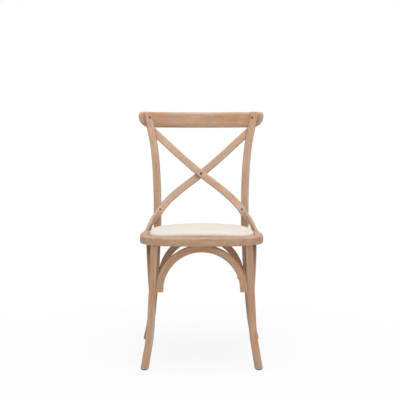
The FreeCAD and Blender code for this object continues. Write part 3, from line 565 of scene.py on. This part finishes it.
strip_oak = limed_oak("limed oak, steam bent strip", grain_attribute, worn_attribute, 0.25)
strip_profile = corner_profile(5)
brace_top = crest_bottom - brace_end_gap
brace_bottom = seat_top + brace_end_gap
post_middle = post_centre(np.array([crest_bottom]))[0, 0]
for number, in_front in enumerate((True, False)):
    line, run, wide = brace_path(in_front)
    count = len(line)
    rings, x, y = swept_rings(line, wide, np.cross(run, wide), np.full(count, brace_width),
                              np.full(count, brace_thickness), np.full(count, brace_corner_round),
                              strip_profile)
    rings = cut_level(rings, run, brace_top, False)
    rings = cut_level(rings, run, brace_bottom, True)
    rings[..., 0] = np.maximum(rings[..., 0], -post_middle)
    lowest, highest = rings[..., 2].min(1), rings[..., 2].max(1)
    free = (lowest < brace_top - brace_end_gap / 2) & (highest > brace_bottom + brace_end_gap / 2)
    first, last = np.flatnonzero(free)[[0, -1]]
    keep = slice(max(first - 1, 0), last + 2)
    if not in_front:
        rings = rings * np.array([-1, 1, 1])
    name = "cross_brace_" + ("front", "rear")[number]
    brace = closed_member("bent_" + name, rings[keep], travelled(line)[keep], x[keep], y[keep],
                          strip_profile[:, 4], np.array([0.17, 0.41, 0.29]) * (number + 2))
    brace.data.materials.append(strip_oak)
    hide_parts(name)
    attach(brace, "root")


# Arches under the seat
# Each is a square oak bar steam bent to a half ring with short straight ends, screwed to two legs
# and, at its peak, to the underside of the seat frame, where it is planed level.

arch_thickness, arch_depth = 0.025, 0.021
arch_edge_round = 0.004
arch_let_in = 0.0008
front_arch_end, rear_arch_end, side_arch_end = 0.259, 0.246, 0.244
side_arch_peak_out = 0.186
arch_rings = 72


def arch_line(radius, peak, run, rise, drop):
    """Middle line of an arch and its outward direction: straight up, half a turn, straight down.
    peak is on the outer face, and drop is how far the ends lie below it."""
    middle = peak - rise * radius
    straight = drop - radius
    turn = np.linspace(0, np.pi, arch_rings)[:, None]
    outward = np.sin(turn) * rise - np.cos(turn) * run
    bend = middle + (radius - arch_thickness / 2) * outward
    line = np.vstack([bend[0] - rise * straight, bend, bend[-1] - rise * straight])
    return line, np.vstack([outward[:1], outward, outward[-1:]])


def arch_places():
    """Outer radius, peak, span, rise and end drop of each arch, from the legs that it joins."""
    peak_z = seat_bottom + arch_let_in
    across, upright = np.array([1.0, 0, 0]), np.array([0, 0, 1.0])
    low = np.array([front_arch_end, rear_arch_end, side_arch_end])
    legs, posts = leg_centre(low), post_centre(low)
    leg_half, post_half = leg_size(low) / 2, np.array(post_size(low)).T / 2
    places = {
        "front_arch": (legs[0, 0] - leg_half[0] + arch_let_in, np.array([0, legs[0, 1], peak_z]),
                       across, upright, peak_z - low[0]),
        "rear_arch": (posts[1, 0] - post_half[1, 0] + arch_let_in,
                      np.array([0, posts[1, 1], peak_z]), across, upright, peak_z - low[1]),
    }
    leg, post = legs[2], posts[2]
    front_face, rear_face = leg[1] + leg_half[2], post[1] - post_half[2, 1]
    for name, side in (("side_arch_left", -1), ("side_arch_right", 1)):
        run = unit(np.array([side * (post[0] - leg[0]), post[1] - leg[1], 0]))
        radius = (rear_face - front_face) / 2 / run[1] + arch_let_in
        base = np.array([side * (leg[0] + post[0]) / 2, (front_face + rear_face) / 2, low[2]])
        peak = np.array([side * side_arch_peak_out, base[1], peak_z])
        rise = peak - base
        rise = unit(rise - run * (rise @ run))
        places[name] = (radius, peak, run, rise, (peak - base) @ rise)
    return places


for number, (name, place) in enumerate(arch_places().items()):
    radius, peak, run, rise, drop = place
    line, outward = arch_line(radius, peak, run, rise, drop)
    count = len(line)
    rings, x, y = swept_rings(line, outward, np.tile(unit(np.cross(run, rise)), (count, 1)),
                              np.full(count, arch_thickness), np.full(count, arch_depth),
                              np.full(count, arch_edge_round), strip_profile)
    rings[..., 2] = np.minimum(rings[..., 2], seat_bottom)
    arch = closed_member("bent_" + name, rings, travelled(line), x, y, strip_profile[:, 4],
                         np.array([0.53, 0.09, 0.37]) * (number + 1))
    arch.data.materials.append(bent_oak)
    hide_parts(name)
    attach(arch, "root")


# Seat frame
# Four sawn oak rails, dowelled end to end into a ring with a rebate for the pad. The grain of each
# runs straight along it, so the joints show as a change of direction.

# Degrees that turn each rail's length on to X
rail_turn = {"seat_front_rail": 0, "seat_back_rail": 0, "seat_side_rail_left": 90,
             "seat_side_rail_right": 90}


def sawn_grain(turn, start):
    """Place in a sawn rail from its Object coordinates, turned so that X runs with the grain and
    moved so that no two rails are alike."""
    def grain_at(tree):
        place = add(tree, "ShaderNodeTexCoord", {})
        return add(tree, "ShaderNodeMapping", {
            "Vector": place.outputs["Object"], "Rotation": (0, 0, math.radians(turn)),
            "Location": (start, start / 3, start / 7)}).outputs[0]

    return grain_at


def rounded_edge(tree):
    """Wear on a rail's rounded edges, where its surface faces neither up or down nor level."""
    surface = add(tree, "ShaderNodeNewGeometry", {})
    facing = add(tree, "ShaderNodeSeparateXYZ", {0: surface.outputs["Normal"]})
    steep = add(tree, "ShaderNodeMath", {0: facing.outputs[2]}, operation="ABSOLUTE")
    rise = add(tree, "ShaderNodeMapRange", {"Value": steep.outputs[0], 1: 0.15, 2: 0.6})
    fall = add(tree, "ShaderNodeMapRange", {"Value": steep.outputs[0], 1: 0.8, 2: 0.98, 3: 1.0,
                                            4: 0.0})
    return add(tree, "ShaderNodeMath", {0: rise.outputs[0], 1: fall.outputs[0]},
               operation="MULTIPLY").outputs[0]


for number, (name, turn) in enumerate(rail_turn.items()):
    sawn_oak = limed_oak("limed oak, sawn, " + name.replace("_", " "),
                         sawn_grain(turn, 0.27 * (number + 1)), rounded_edge, 0.05)
    nodes[name].data.materials.clear()
    nodes[name].data.materials.append(sawn_oak)


# Seat pad
# A drop-in pad: foam on a plywood board, covered in off-white linen pulled tight over the edge and
# stapled below. Its top is gently crowned and its rim is full and soft.

pad_low, pad_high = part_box("seat_cover")
seat_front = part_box("seat_front_rail")[0].y
pad_edge_rise, pad_crown = 0.016, 0.026
pad_edge_round, pad_undercut = 0.0095, 0.0045
pad_inset = 0.0012
pad_off_ledge = 0.0005
pad_voxel = 0.005
pad_let_out = 0.0015

# The seat frame's outer edge is long arcs with rounded corners, and the pad's follows it, further
# in at the front, sides and rear by these margins
seat_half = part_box("seat_side_rail_right")[1].x
seat_depth = 0.415
widest_back = 0.165
edge_radius = 0.900
front_corner, back_corner = 0.120, 0.135
pad_front, pad_side, pad_rear = 0.043, 0.030, 0.046
outline_points = 14


def round_corner(a, b, radius):
    """Centre of a corner's arc that touches two long arcs round a and b from inside: it lies off
    the middle of a and b, as far from each as the arcs' radii differ, on the right-hand side."""
    reach = edge_radius - radius
    apart = np.linalg.norm(b - a)
    along = (b - a) / apart
    off = math.sqrt(reach ** 2 - (apart / 2) ** 2) * np.array([-along[1], along[0]])
    return max((a + b) / 2 + off, (a + b) / 2 - off, key=lambda point: point[0])


def arc_through(middle, radius, start, end):
    """Points of an arc round a middle, counterclockwise from facing start to facing end."""
    first = math.atan2(*(start - middle)[::-1])
    last = math.atan2(*(end - middle)[::-1])
    turn = np.linspace(first, last + 2 * math.pi * (last < first), outline_points)
    return middle + radius * np.stack([np.cos(turn), np.sin(turn)], 1)


def pad_outline(draw_in):
    """Points round the pad's edge, drawn in by a distance, counterclockwise from the middle of its
    front: long front, side and rear arcs with a corner arc between each two, then the left half as
    a mirror of the right."""
    front = np.array([0, seat_front + pad_front + draw_in + edge_radius])
    side = np.array([seat_half - pad_side - draw_in - edge_radius, seat_front + widest_back])
    rear = np.array([0, seat_front + seat_depth - pad_rear - draw_in - edge_radius])
    front_round = front_corner - (pad_front + pad_side) / 2 - draw_in
    rear_round = back_corner - (pad_rear + pad_side) / 2 - draw_in
    front_bend = round_corner(front, side, front_round)
    rear_bend = round_corner(rear, side, rear_round)
    front_end = front_bend + unit(front_bend - front)
    side_start = front_bend + unit(front_bend - side)
    side_end = rear_bend + unit(rear_bend - side)
    rear_start = rear_bend + unit(rear_bend - rear)
    runs = [arc_through(front, edge_radius, front + [0, -1], front_end),
            arc_through(front_bend, front_round, front_end, side_start),
            arc_through(side, edge_radius, side_start, side_end),
            arc_through(rear_bend, rear_round, side_end, rear_start),
            arc_through(rear, edge_radius, rear_start, rear + [0, 1])]
    right = np.vstack([run[:-1] for run in runs] + [runs[-1][-1:]])
    return np.vstack([right, (right * [-1, 1])[::-1][1:-1]])


def pad_form():
    """The pad before it is stuffed: rings of its outline from the ledge up its wall, round its full
    rim by an arc that starts drawn in under it, and in over the top, whose height falls as a circle
    from crown to rim."""
    crown_z = pad_high.z - pad_inset
    middle = np.array([0, seat_front + seat_depth / 2])
    half = seat_depth / 2 - pad_front
    rise = pad_crown - pad_edge_rise
    dome = (half ** 2 + rise ** 2) / (2 * rise)

    def dome_height(edge):
        """Height of the top over points of the plan."""
        away = np.linalg.norm(edge - middle, axis=1)
        return crown_z - dome + np.sqrt(dome ** 2 - away ** 2)

    wall = pad_outline(pad_inset + pad_undercut)
    rings = [np.column_stack([wall, np.full(len(wall), z)])
             for z in (pad_low.z + pad_off_ledge, seat_top - 0.001)]
    top = dome_height(pad_outline(pad_inset + pad_edge_round))
    for angle in np.radians(np.linspace(-50, 90, 9)):
        edge = pad_outline(pad_inset + pad_edge_round * (1 - math.cos(angle)))
        rings.append(np.column_stack([edge, top - pad_edge_round * (1 - math.sin(angle))]))
    rim = rings[-1]
    for share in np.linspace(0.92, 0.08, 12):
        edge = middle + (rim[:, :2] - middle) * share
        rings.append(np.column_stack([edge, dome_height(edge)]))
    return np.stack(rings)


def point_places(mesh):
    """Places of a mesh's points, one a row."""
    flat = np.zeros(len(mesh.vertices) * 3)
    mesh.vertices.foreach_get("co", flat)
    return flat.reshape(-1, 3)


def stuffed(form):
    """Cloth simulation of the pad: the skin is remeshed, held still below the rim, blown up by its
    filling, and let out by no more than pad_let_out."""
    held_up_to, held_over = seat_top + 0.006, 0.004
    last_step = 20
    bpy.context.view_layer.objects.active = form
    remesh = form.modifiers.new("skin", "REMESH")
    remesh.mode = "VOXEL"
    remesh.voxel_size = pad_voxel
    remesh.use_smooth_shade = True
    depsgraph = bpy.context.evaluated_depsgraph_get()
    skin = bpy.data.meshes.new_from_object(form.evaluated_get(depsgraph))
    form.modifiers.clear()
    form.data = skin
    start = point_places(skin)
    held = np.round(np.clip((held_up_to - start[:, 2]) / held_over, 0, 1), 2)
    group = form.vertex_groups.new(name="held")
    for level in np.unique(held):
        group.add(np.flatnonzero(held == level).tolist(), float(level), "REPLACE")
    cloth = form.modifiers.new("stuffing", "CLOTH")
    cloth.settings.use_pressure = True
    cloth.settings.uniform_pressure_force = 4.0
    cloth.settings.vertex_group_mass = "held"
    cloth.settings.effector_weights.gravity = 0
    cloth.settings.tension_stiffness = 30
    cloth.settings.compression_stiffness = 30
    cloth.settings.bending_stiffness = 2
    cloth.point_cache.frame_start, cloth.point_cache.frame_end = 1, last_step
    for step in range(1, last_step + 1):
        bpy.context.scene.frame_set(step)
    depsgraph = bpy.context.evaluated_depsgraph_get()
    blown = bpy.data.meshes.new_from_object(form.evaluated_get(depsgraph))
    move = point_places(blown) - start
    size = np.linalg.norm(move, axis=1, keepdims=True)
    move = move * np.minimum(1, pad_let_out / np.maximum(size, 1e-9))
    form.modifiers.clear()
    form.data.vertices.foreach_set("co", (start + move).ravel())
    bpy.context.scene.frame_set(1)
    smooth = form.modifiers.new("fine skin", "SUBSURF")
    smooth.levels = smooth.render_levels = 1
    form.data.shade_smooth()


def linen(name):
    """Plain-woven linen, washed: an off-white, slightly uneven cloth, dry and matt, with thicker
    slubs here and there. Threads lie 1.1 mm apart, coarser than real ones, so that they show."""
    thread = 0.0011
    material, tree = blank_material(name)
    place = add(tree, "ShaderNodeTexCoord", {}).outputs["Object"]
    apart = add(tree, "ShaderNodeSeparateXYZ", {0: place})
    down = add(tree, "ShaderNodeMath", {0: apart.outputs[1], 1: apart.outputs[2]},
               operation="SUBTRACT")
    flat = add(tree, "ShaderNodeCombineXYZ", {0: apart.outputs[0], 1: down.outputs[0]}).outputs[0]
    bands = {"Vector": flat, "Scale": 2 * math.pi / thread / 20, "Distortion": 0.35, "Detail": 2.0,
             "Detail Scale": 1.4}
    warp, weft = [add(tree, "ShaderNodeTexWave", bands, bands_direction=axis).outputs["Fac"]
                  for axis in ("X", "Y")]
    woven = add(tree, "ShaderNodeMath", {0: warp, 1: weft}, operation="MULTIPLY")
    slubs = []
    for size in ((0.018, 0.0016, 1), (0.0016, 0.018, 1)):
        at = add(tree, "ShaderNodeVectorMath", {0: flat, 1: size}, operation="DIVIDE")
        slubs.append(add(tree, "ShaderNodeTexNoise", {"Vector": at.outputs[0], "Scale": 1.0,
                                                      "Detail": 2.0}).outputs[0])
    slub = add(tree, "ShaderNodeMath", {0: slubs[0], 1: slubs[1]}, operation="MAXIMUM")
    slub = add(tree, "ShaderNodeMapRange", {"Value": slub.outputs[0], 1: 0.58, 2: 0.78},
               interpolation_type="SMOOTHSTEP")
    cloud = add(tree, "ShaderNodeTexNoise", {"Vector": place, "Scale": 1 / 0.045, "Detail": 3.0})
    tint = add(tree, "ShaderNodeMapRange", {"Value": cloud.outputs[0], 1: 0.3, 2: 0.7, 4: 0.5})
    cloth = add(tree, "ShaderNodeMix", {0: tint.outputs[0], 6: linear("#EAE5DC"),
                                        7: linear("#E0DACF")}, data_type="RGBA")
    shade = add(tree, "ShaderNodeMapRange", {"Value": woven.outputs[0], 3: 0.30, 4: 0.0})
    cloth = add(tree, "ShaderNodeMix", {0: shade.outputs[0], 6: cloth.outputs[2],
                                        7: linear("#C9C0B2")}, data_type="RGBA")
    thick = add(tree, "ShaderNodeMath", {0: slub.outputs[0], 1: 0.35}, operation="MULTIPLY")
    cloth = add(tree, "ShaderNodeMix", {0: thick.outputs[0], 6: cloth.outputs[2],
                                        7: linear("#F2EFE8")}, data_type="RGBA")
    height = add(tree, "ShaderNodeMath", {0: slub.outputs[0], 1: 0.8, 2: woven.outputs[0]},
                 operation="MULTIPLY_ADD")
    bump = add(tree, "ShaderNodeBump", {"Strength": 0.4, "Distance": 0.0004,
                                        "Height": height.outputs[0]})
    shader = add(tree, "ShaderNodeBsdfPrincipled", {
        "Base Color": cloth.outputs[2], "Roughness": 0.92, "Normal": bump.outputs[0],
        "Specular IOR Level": 0.2, "Sheen Weight": 0.15, "Sheen Roughness": 0.5})
    add(tree, "ShaderNodeOutputMaterial", {"Surface": shader.outputs[0]})
    return material


rings = pad_form()
pad = closed_member("linen_seat_pad", rings, np.zeros(len(rings)), rings[..., 0], rings[..., 1],
                    np.zeros(rings.shape[1]), np.zeros(3))
stuffed(pad)
pad.data.materials.clear()
pad.data.materials.append(linen("washed linen, plain weave"))
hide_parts("seat_cover", "seat_foam")
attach(pad, "root")


# Screws
# Countersunk wood screws with a cross recess, coated dark bronze and driven level with the wood.
# Painted shade darkens the cross recess, and a flat ring of painted shade round each head stands
# for the shade in its countersink.

head_radius, shank_radius = 0.004, 0.002
recess_reach, recess_half, recess_depth = 0.0024, 0.0006, 0.00025
# countersink_radius is the outer edge of a flat ring laid on the wood round each head and coloured
# as painted shade, for the shade in the countersink.
countersink_radius = 0.0046
point_length = 0.004

# Any direction that no screw has, to turn its recess from
askew = (0.3, 0.5, 0.8)


def separate_points(mesh):
    """Points of each separate solid in a mesh, welded where they coincide. Each point starts with
    its own number, and the lower number is handed on along the edges until none changes."""
    points, weld = np.unique(np.round(point_places(mesh), 7), axis=0, return_inverse=True)
    ends = np.zeros(len(mesh.edges) * 2, dtype=int)
    mesh.edges.foreach_get("vertices", ends)
    first, second = weld.ravel()[ends].reshape(-1, 2).T
    number = np.arange(len(points))
    before = None
    while not np.array_equal(number, before):
        before = number.copy()
        np.minimum.at(number, first, before[second])
        np.minimum.at(number, second, before[first])
        number = number[number]
    return [points[number == lowest] for lowest in np.unique(number)]


def screw_axes(name):
    """Head centre, direction and length of each screw in a CAD node. A screw runs along its points'
    main direction, and its head is the end that has its widest point."""
    end_reach = 0.0005
    axes = []
    for points in separate_points(nodes[name].data):
        middle = points.mean(0)
        way = np.linalg.svd(points - middle)[2][0]
        along = (points - middle) @ way
        wide = np.linalg.norm(points - middle - along[:, None] * way, axis=1)
        if along[wide.argmax()] > 0:
            way, along = -way, -along
        in_head = (along < along.min() + end_reach) & (wide > head_radius * 0.9)
        head = points[in_head].mean(0)
        tip = points[along > along.max() - end_reach].mean(0)
        axes.append((head, unit(tip - head), np.linalg.norm(tip - head)))
    return axes


def screw_rings(head, way, length):
    """A screw turned about its axis: each ring is a radius at a depth below the wood, from the
    middle of the head over its rim and countersink, and back in down the cone, shank and point.
    In the cross recess the head's top is let down. Last comes each point's painted shade: dark in
    the cross recess and on the flat ring round the head, for the shade that falls there."""
    to_rim = np.array([(0.3, -0.35), (0.8, -0.35), (1.3, -0.35), (1.8, -0.35), (2.3, -0.35),
                       (2.8, -0.33), (3.4, -0.30), (3.8, -0.22)]) / 1000
    below = [(head_radius, -0.00008), (countersink_radius, -0.00006), (countersink_radius, 0.0003),
             (head_radius, 0.0004), (shank_radius, 0.0024), (shank_radius, length - point_length),
             (to_rim[0, 0], length)]
    radii, depth = np.vstack([to_rim, below]).T
    turn = np.linspace(0, 2 * np.pi, 49)[:-1]
    across, up = radii[:, None] * np.cos(turn), radii[:, None] * np.sin(turn)
    arm = np.minimum(np.abs(across), np.abs(up)) < recess_half
    recess = arm & (radii[:, None] < recess_reach) & (depth[:, None] < 0)
    deep = depth[:, None] + np.where(recess, recess_depth, 0)
    side = unit(np.cross(way, askew))
    rings = (head + across[..., None] * side + up[..., None] * np.cross(way, side)
             + deep[..., None] * way)
    # Painted shade: the cross recess and the flat ring round the head are marked dark, for the
    # shade in the recess and the countersink.
    countersink = (radii >= head_radius) & (depth < 0.0005)
    dark = np.maximum(recess, countersink[:, None])
    return rings, across, up, dark.astype(float)


def resting_on(head, way, members):
    """The screw's head set on the wood: the mean place and facing of nine points of the nearest
    member's surface, below the middle and the rim of the head."""
    side = unit(np.cross(way, askew))
    turn = np.linspace(0, 2 * np.pi, 9)[:-1, None]
    start = head - way * 0.001
    around = start + head_radius * 0.8 * (np.cos(turn) * side + np.sin(turn) * np.cross(way, side))
    member = min(members, key=lambda tree: tree.find_nearest(start)[3])
    found = [member.find_nearest(point) for point in np.vstack([start, around])]
    place = np.mean([np.array(hit[0]) for hit in found], 0)
    facing = unit(np.mean([np.array(hit[1]) for hit in found], 0))
    return place, -facing if facing @ way < 0 else facing


def coated_steel():
    """Steel screws with a dark bronze coat, dull, darkened nearly black by painted shade in the
    recess and on the countersink ring.
    """
    material, tree = blank_material("screw steel, dark bronze coat")
    place = add(tree, "ShaderNodeTexCoord", {}).outputs["Object"]
    fleck = add(tree, "ShaderNodeTexNoise", {"Vector": place, "Scale": 1 / 0.0012, "Detail": 2.0})
    coat = add(tree, "ShaderNodeMix", {0: fleck.outputs[0], 6: linear("#4E382B"),
                                       7: linear("#2F2018")}, data_type="RGBA")
    # Painted shade: the near-black #1D140F is mixed in where the screw is marked as lying in shade,
    # in its recess and on the ring round its head.
    dark = add(tree, "ShaderNodeAttribute", {}, attribute_name="wear_and_painted_shade").outputs["Fac"]
    coat = add(tree, "ShaderNodeMix", {0: dark, 6: coat.outputs[2], 7: linear("#1D140F")},
               data_type="RGBA")
    bump = add(tree, "ShaderNodeBump", {"Strength": 0.2, "Distance": 0.0002,
                                        "Height": fleck.outputs[0]})
    shader = add(tree, "ShaderNodeBsdfPrincipled", {"Base Color": coat.outputs[2],
                                                    "Normal": bump.outputs[0], "Metallic": 0.3,
                                                    "Roughness": 0.5})
    add(tree, "ShaderNodeOutputMaterial", {"Surface": shader.outputs[0]})
    return material


bronzed = coated_steel()
wood_surfaces = [BVHTree.FromObject(piece, bpy.context.evaluated_depsgraph_get())
                 for piece in bpy.data.objects if piece.name.startswith(("bent_", "sabre_"))]
for name in ("crest_screws", "cross_screw", "brace_post_screws", "brace_head_screws",
             "arch_leg_screws", "arch_seat_screws"):
    group = []
    for head, way, length in screw_axes(name):
        place, way = resting_on(head, way, wood_surfaces)
        rings, across, up, dark = screw_rings(place, way, length)
        # dark is the painted shade of the recess and the countersink ring, kept in the attribute
        # that holds wear on the wood.
        group.append(closed_member(name, rings, np.zeros(len(rings)), across, up, dark,
                                   np.zeros(3)))
    with bpy.context.temp_override(active_object=group[0], selected_editable_objects=group):
        bpy.ops.object.join()
    screws = group[0]
    screws.name = "driven_" + name
    screws.data.materials.append(bronzed)
    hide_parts(name)
    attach(screws, "root")


# Board, dust cloth and hardware
# The plywood board closes the pad from below, under a black spun cloth. Bolts, washers, barrel nuts
# and staples are bright zinc; the foot glides are brown nylon.


def flecked(name, base, dark, size, **shader_inputs):
    """A nearly even surface with fine flecks, as spun cloth, plating or moulded nylon has."""
    material, tree = blank_material(name)
    place = add(tree, "ShaderNodeTexCoord", {}).outputs["Object"]
    fleck = add(tree, "ShaderNodeTexNoise", {"Vector": place, "Scale": 1 / size, "Detail": 3.0})
    share = add(tree, "ShaderNodeMapRange", {"Value": fleck.outputs[0], 1: 0.35, 2: 0.65})
    colour = add(tree, "ShaderNodeMix", {0: share.outputs[0], 6: linear(dark), 7: linear(base)},
                 data_type="RGBA")
    bump = add(tree, "ShaderNodeBump", {"Strength": 0.2, "Distance": size / 6,
                                        "Height": fleck.outputs[0]})
    shader = add(tree, "ShaderNodeBsdfPrincipled", {"Base Color": colour.outputs[2],
                                                    "Normal": bump.outputs[0], **shader_inputs})
    add(tree, "ShaderNodeOutputMaterial", {"Surface": shader.outputs[0]})
    return material


finishes = {
    flecked("screw steel, dark bronze coat, sunk", "#4E382B", "#2F2018", 0.0012,
            **{"Metallic": 0.3, "Roughness": 0.5}):
        ["brace_foot_screws", "seat_pad_screws"],
    flecked("steel, bright zinc plate", "#B9B7B0", "#94928B", 0.002,
            **{"Metallic": 1.0, "Roughness": 0.38}):
        ["post_bolts", "post_bolt_washers", "barrel_nuts", "cover_staples", "dust_cloth_staples"],
    flecked("nylon, moulded dark brown", "#33271F", "#241B15", 0.0012, **{"Roughness": 0.55}):
        ["foot_glides"],
    flecked("polypropylene, spun black cloth", "#232323", "#151515", 0.0014,
            **{"Roughness": 0.95, "Specular IOR Level": 0.2}):
        ["seat_dust_cloth"],
    flecked("birch plywood, sanded", "#C7AC80", "#B2936A", 0.004, **{"Roughness": 0.7}):
        ["seat_board", "seat_frame_dowels"],
}
for material, names in finishes.items():
    for name in names:
        nodes[name].data.materials.clear()
        nodes[name].data.materials.append(material)


# Floor, light and camera
# A plain pale studio floor that turns to the white of the backdrop away from the chair, soft light
# from above and the front, and the photograph's camera.

floor_mesh = bpy.data.meshes.new("studio_floor")
spokes = 96
turn = np.linspace(0, 2 * np.pi, spokes + 1)[:-1]
radii = np.array([0.35, 0.9, 2.0, 30.0])[:, None]
floor_points = np.stack([radii * np.cos(turn), radii * np.sin(turn), 0 * radii * turn], -1)
near = np.arange(spokes * (len(radii) - 1)).reshape(-1, spokes)
ahead = np.roll(near, -1, axis=1)
floor_faces = np.stack([near, near + spokes, ahead + spokes, ahead], -1).reshape(-1, 4).tolist()
floor_faces.append(list(range(spokes)))
floor_mesh.from_pydata(floor_points.reshape(-1, 3).tolist(), [], floor_faces)
floor = bpy.data.objects.new("studio_floor", floor_mesh)
bpy.context.scene.collection.objects.link(floor)

paper, tree = blank_material("studio paper, matt white")
ray = add(tree, "ShaderNodeLightPath", {})
tone = add(tree, "ShaderNodeMix", {0: ray.outputs["Is Camera Ray"], 6: linear("#E2E2E2"),
                                   7: linear("#F4F4F4")}, data_type="RGBA")
lit = add(tree, "ShaderNodeBsdfDiffuse", {"Color": tone.outputs[2]})
glow = add(tree, "ShaderNodeEmission", {"Color": (1, 1, 1, 1), "Strength": 1.0})
place = add(tree, "ShaderNodeTexCoord", {}).outputs["Object"]
away = add(tree, "ShaderNodeVectorMath", {0: place}, operation="LENGTH")
fade = add(tree, "ShaderNodeMapRange", {"Value": away.outputs["Value"], 1: 0.35, 2: 1.1, 3: 0.86,
                                        4: 1.0}, interpolation_type="SMOOTHSTEP")
seen = add(tree, "ShaderNodeMath", {0: ray.outputs["Is Camera Ray"], 1: fade.outputs[0]},
           operation="MULTIPLY")
surface = add(tree, "ShaderNodeMixShader", {0: seen.outputs[0], 1: lit.outputs[0],
                                            2: glow.outputs[0]})
add(tree, "ShaderNodeOutputMaterial", {"Surface": surface.outputs[0]})
floor.data.materials.append(paper)

world = bpy.data.worlds.new("studio")
bpy.context.scene.world = world
world.use_nodes = True
tree = world.node_tree
tree.nodes.clear()
ray = add(tree, "ShaderNodeLightPath", {})
shown = add(tree, "ShaderNodeMath", {0: ray.outputs["Is Camera Ray"],
                                     1: ray.outputs["Is Glossy Ray"]}, operation="MAXIMUM")
strength = add(tree, "ShaderNodeMapRange", {"Value": shown.outputs[0], 3: 0.62, 4: 1.0})
sky = add(tree, "ShaderNodeBackground", {"Color": (1, 1, 1, 1), "Strength": strength.outputs[0]})
add(tree, "ShaderNodeOutputWorld", {"Surface": sky.outputs[0]})


def soft_light(name, place, aim, size, watts):
    """A square softbox at a place, turned to face its aim."""
    data = bpy.data.lights.new(name, "AREA")
    data.shape = "SQUARE"
    data.size = size
    data.energy = watts
    lamp = bpy.data.objects.new(name, data)
    bpy.context.scene.collection.objects.link(lamp)
    beam = np.array(aim) - np.array(place)
    lamp.location = place
    lamp.rotation_euler = (math.atan2(math.hypot(beam[0], beam[1]), -beam[2]), 0,
                           math.atan2(beam[1], beam[0]) - math.pi / 2)


soft_light("overhead_softbox", (0.1, -0.5, 2.6), (0, 0, 0.45), 1.8, 27)
soft_light("front_softbox", (0.4, -2.6, 1.5), (0, 0, 0.4), 1.6, 13)

camera_data = bpy.data.cameras.new("photograph")
camera = bpy.data.objects.new("photograph", camera_data)
bpy.context.scene.collection.objects.link(camera)
image_width, focal_pixels = 400, 772.6
camera_down, camera_right = math.radians(3.38), math.radians(0.217)
camera_data.sensor_width = 36.0
camera_data.lens = camera_data.sensor_width * focal_pixels / image_width
camera.location = (-0.01556, -2.8, 0.7222)
camera.rotation_euler = (math.pi / 2 - camera_down, 0, -camera_right)
bpy.context.scene.camera = camera
bpy.context.scene.view_settings.view_transform = "Standard"
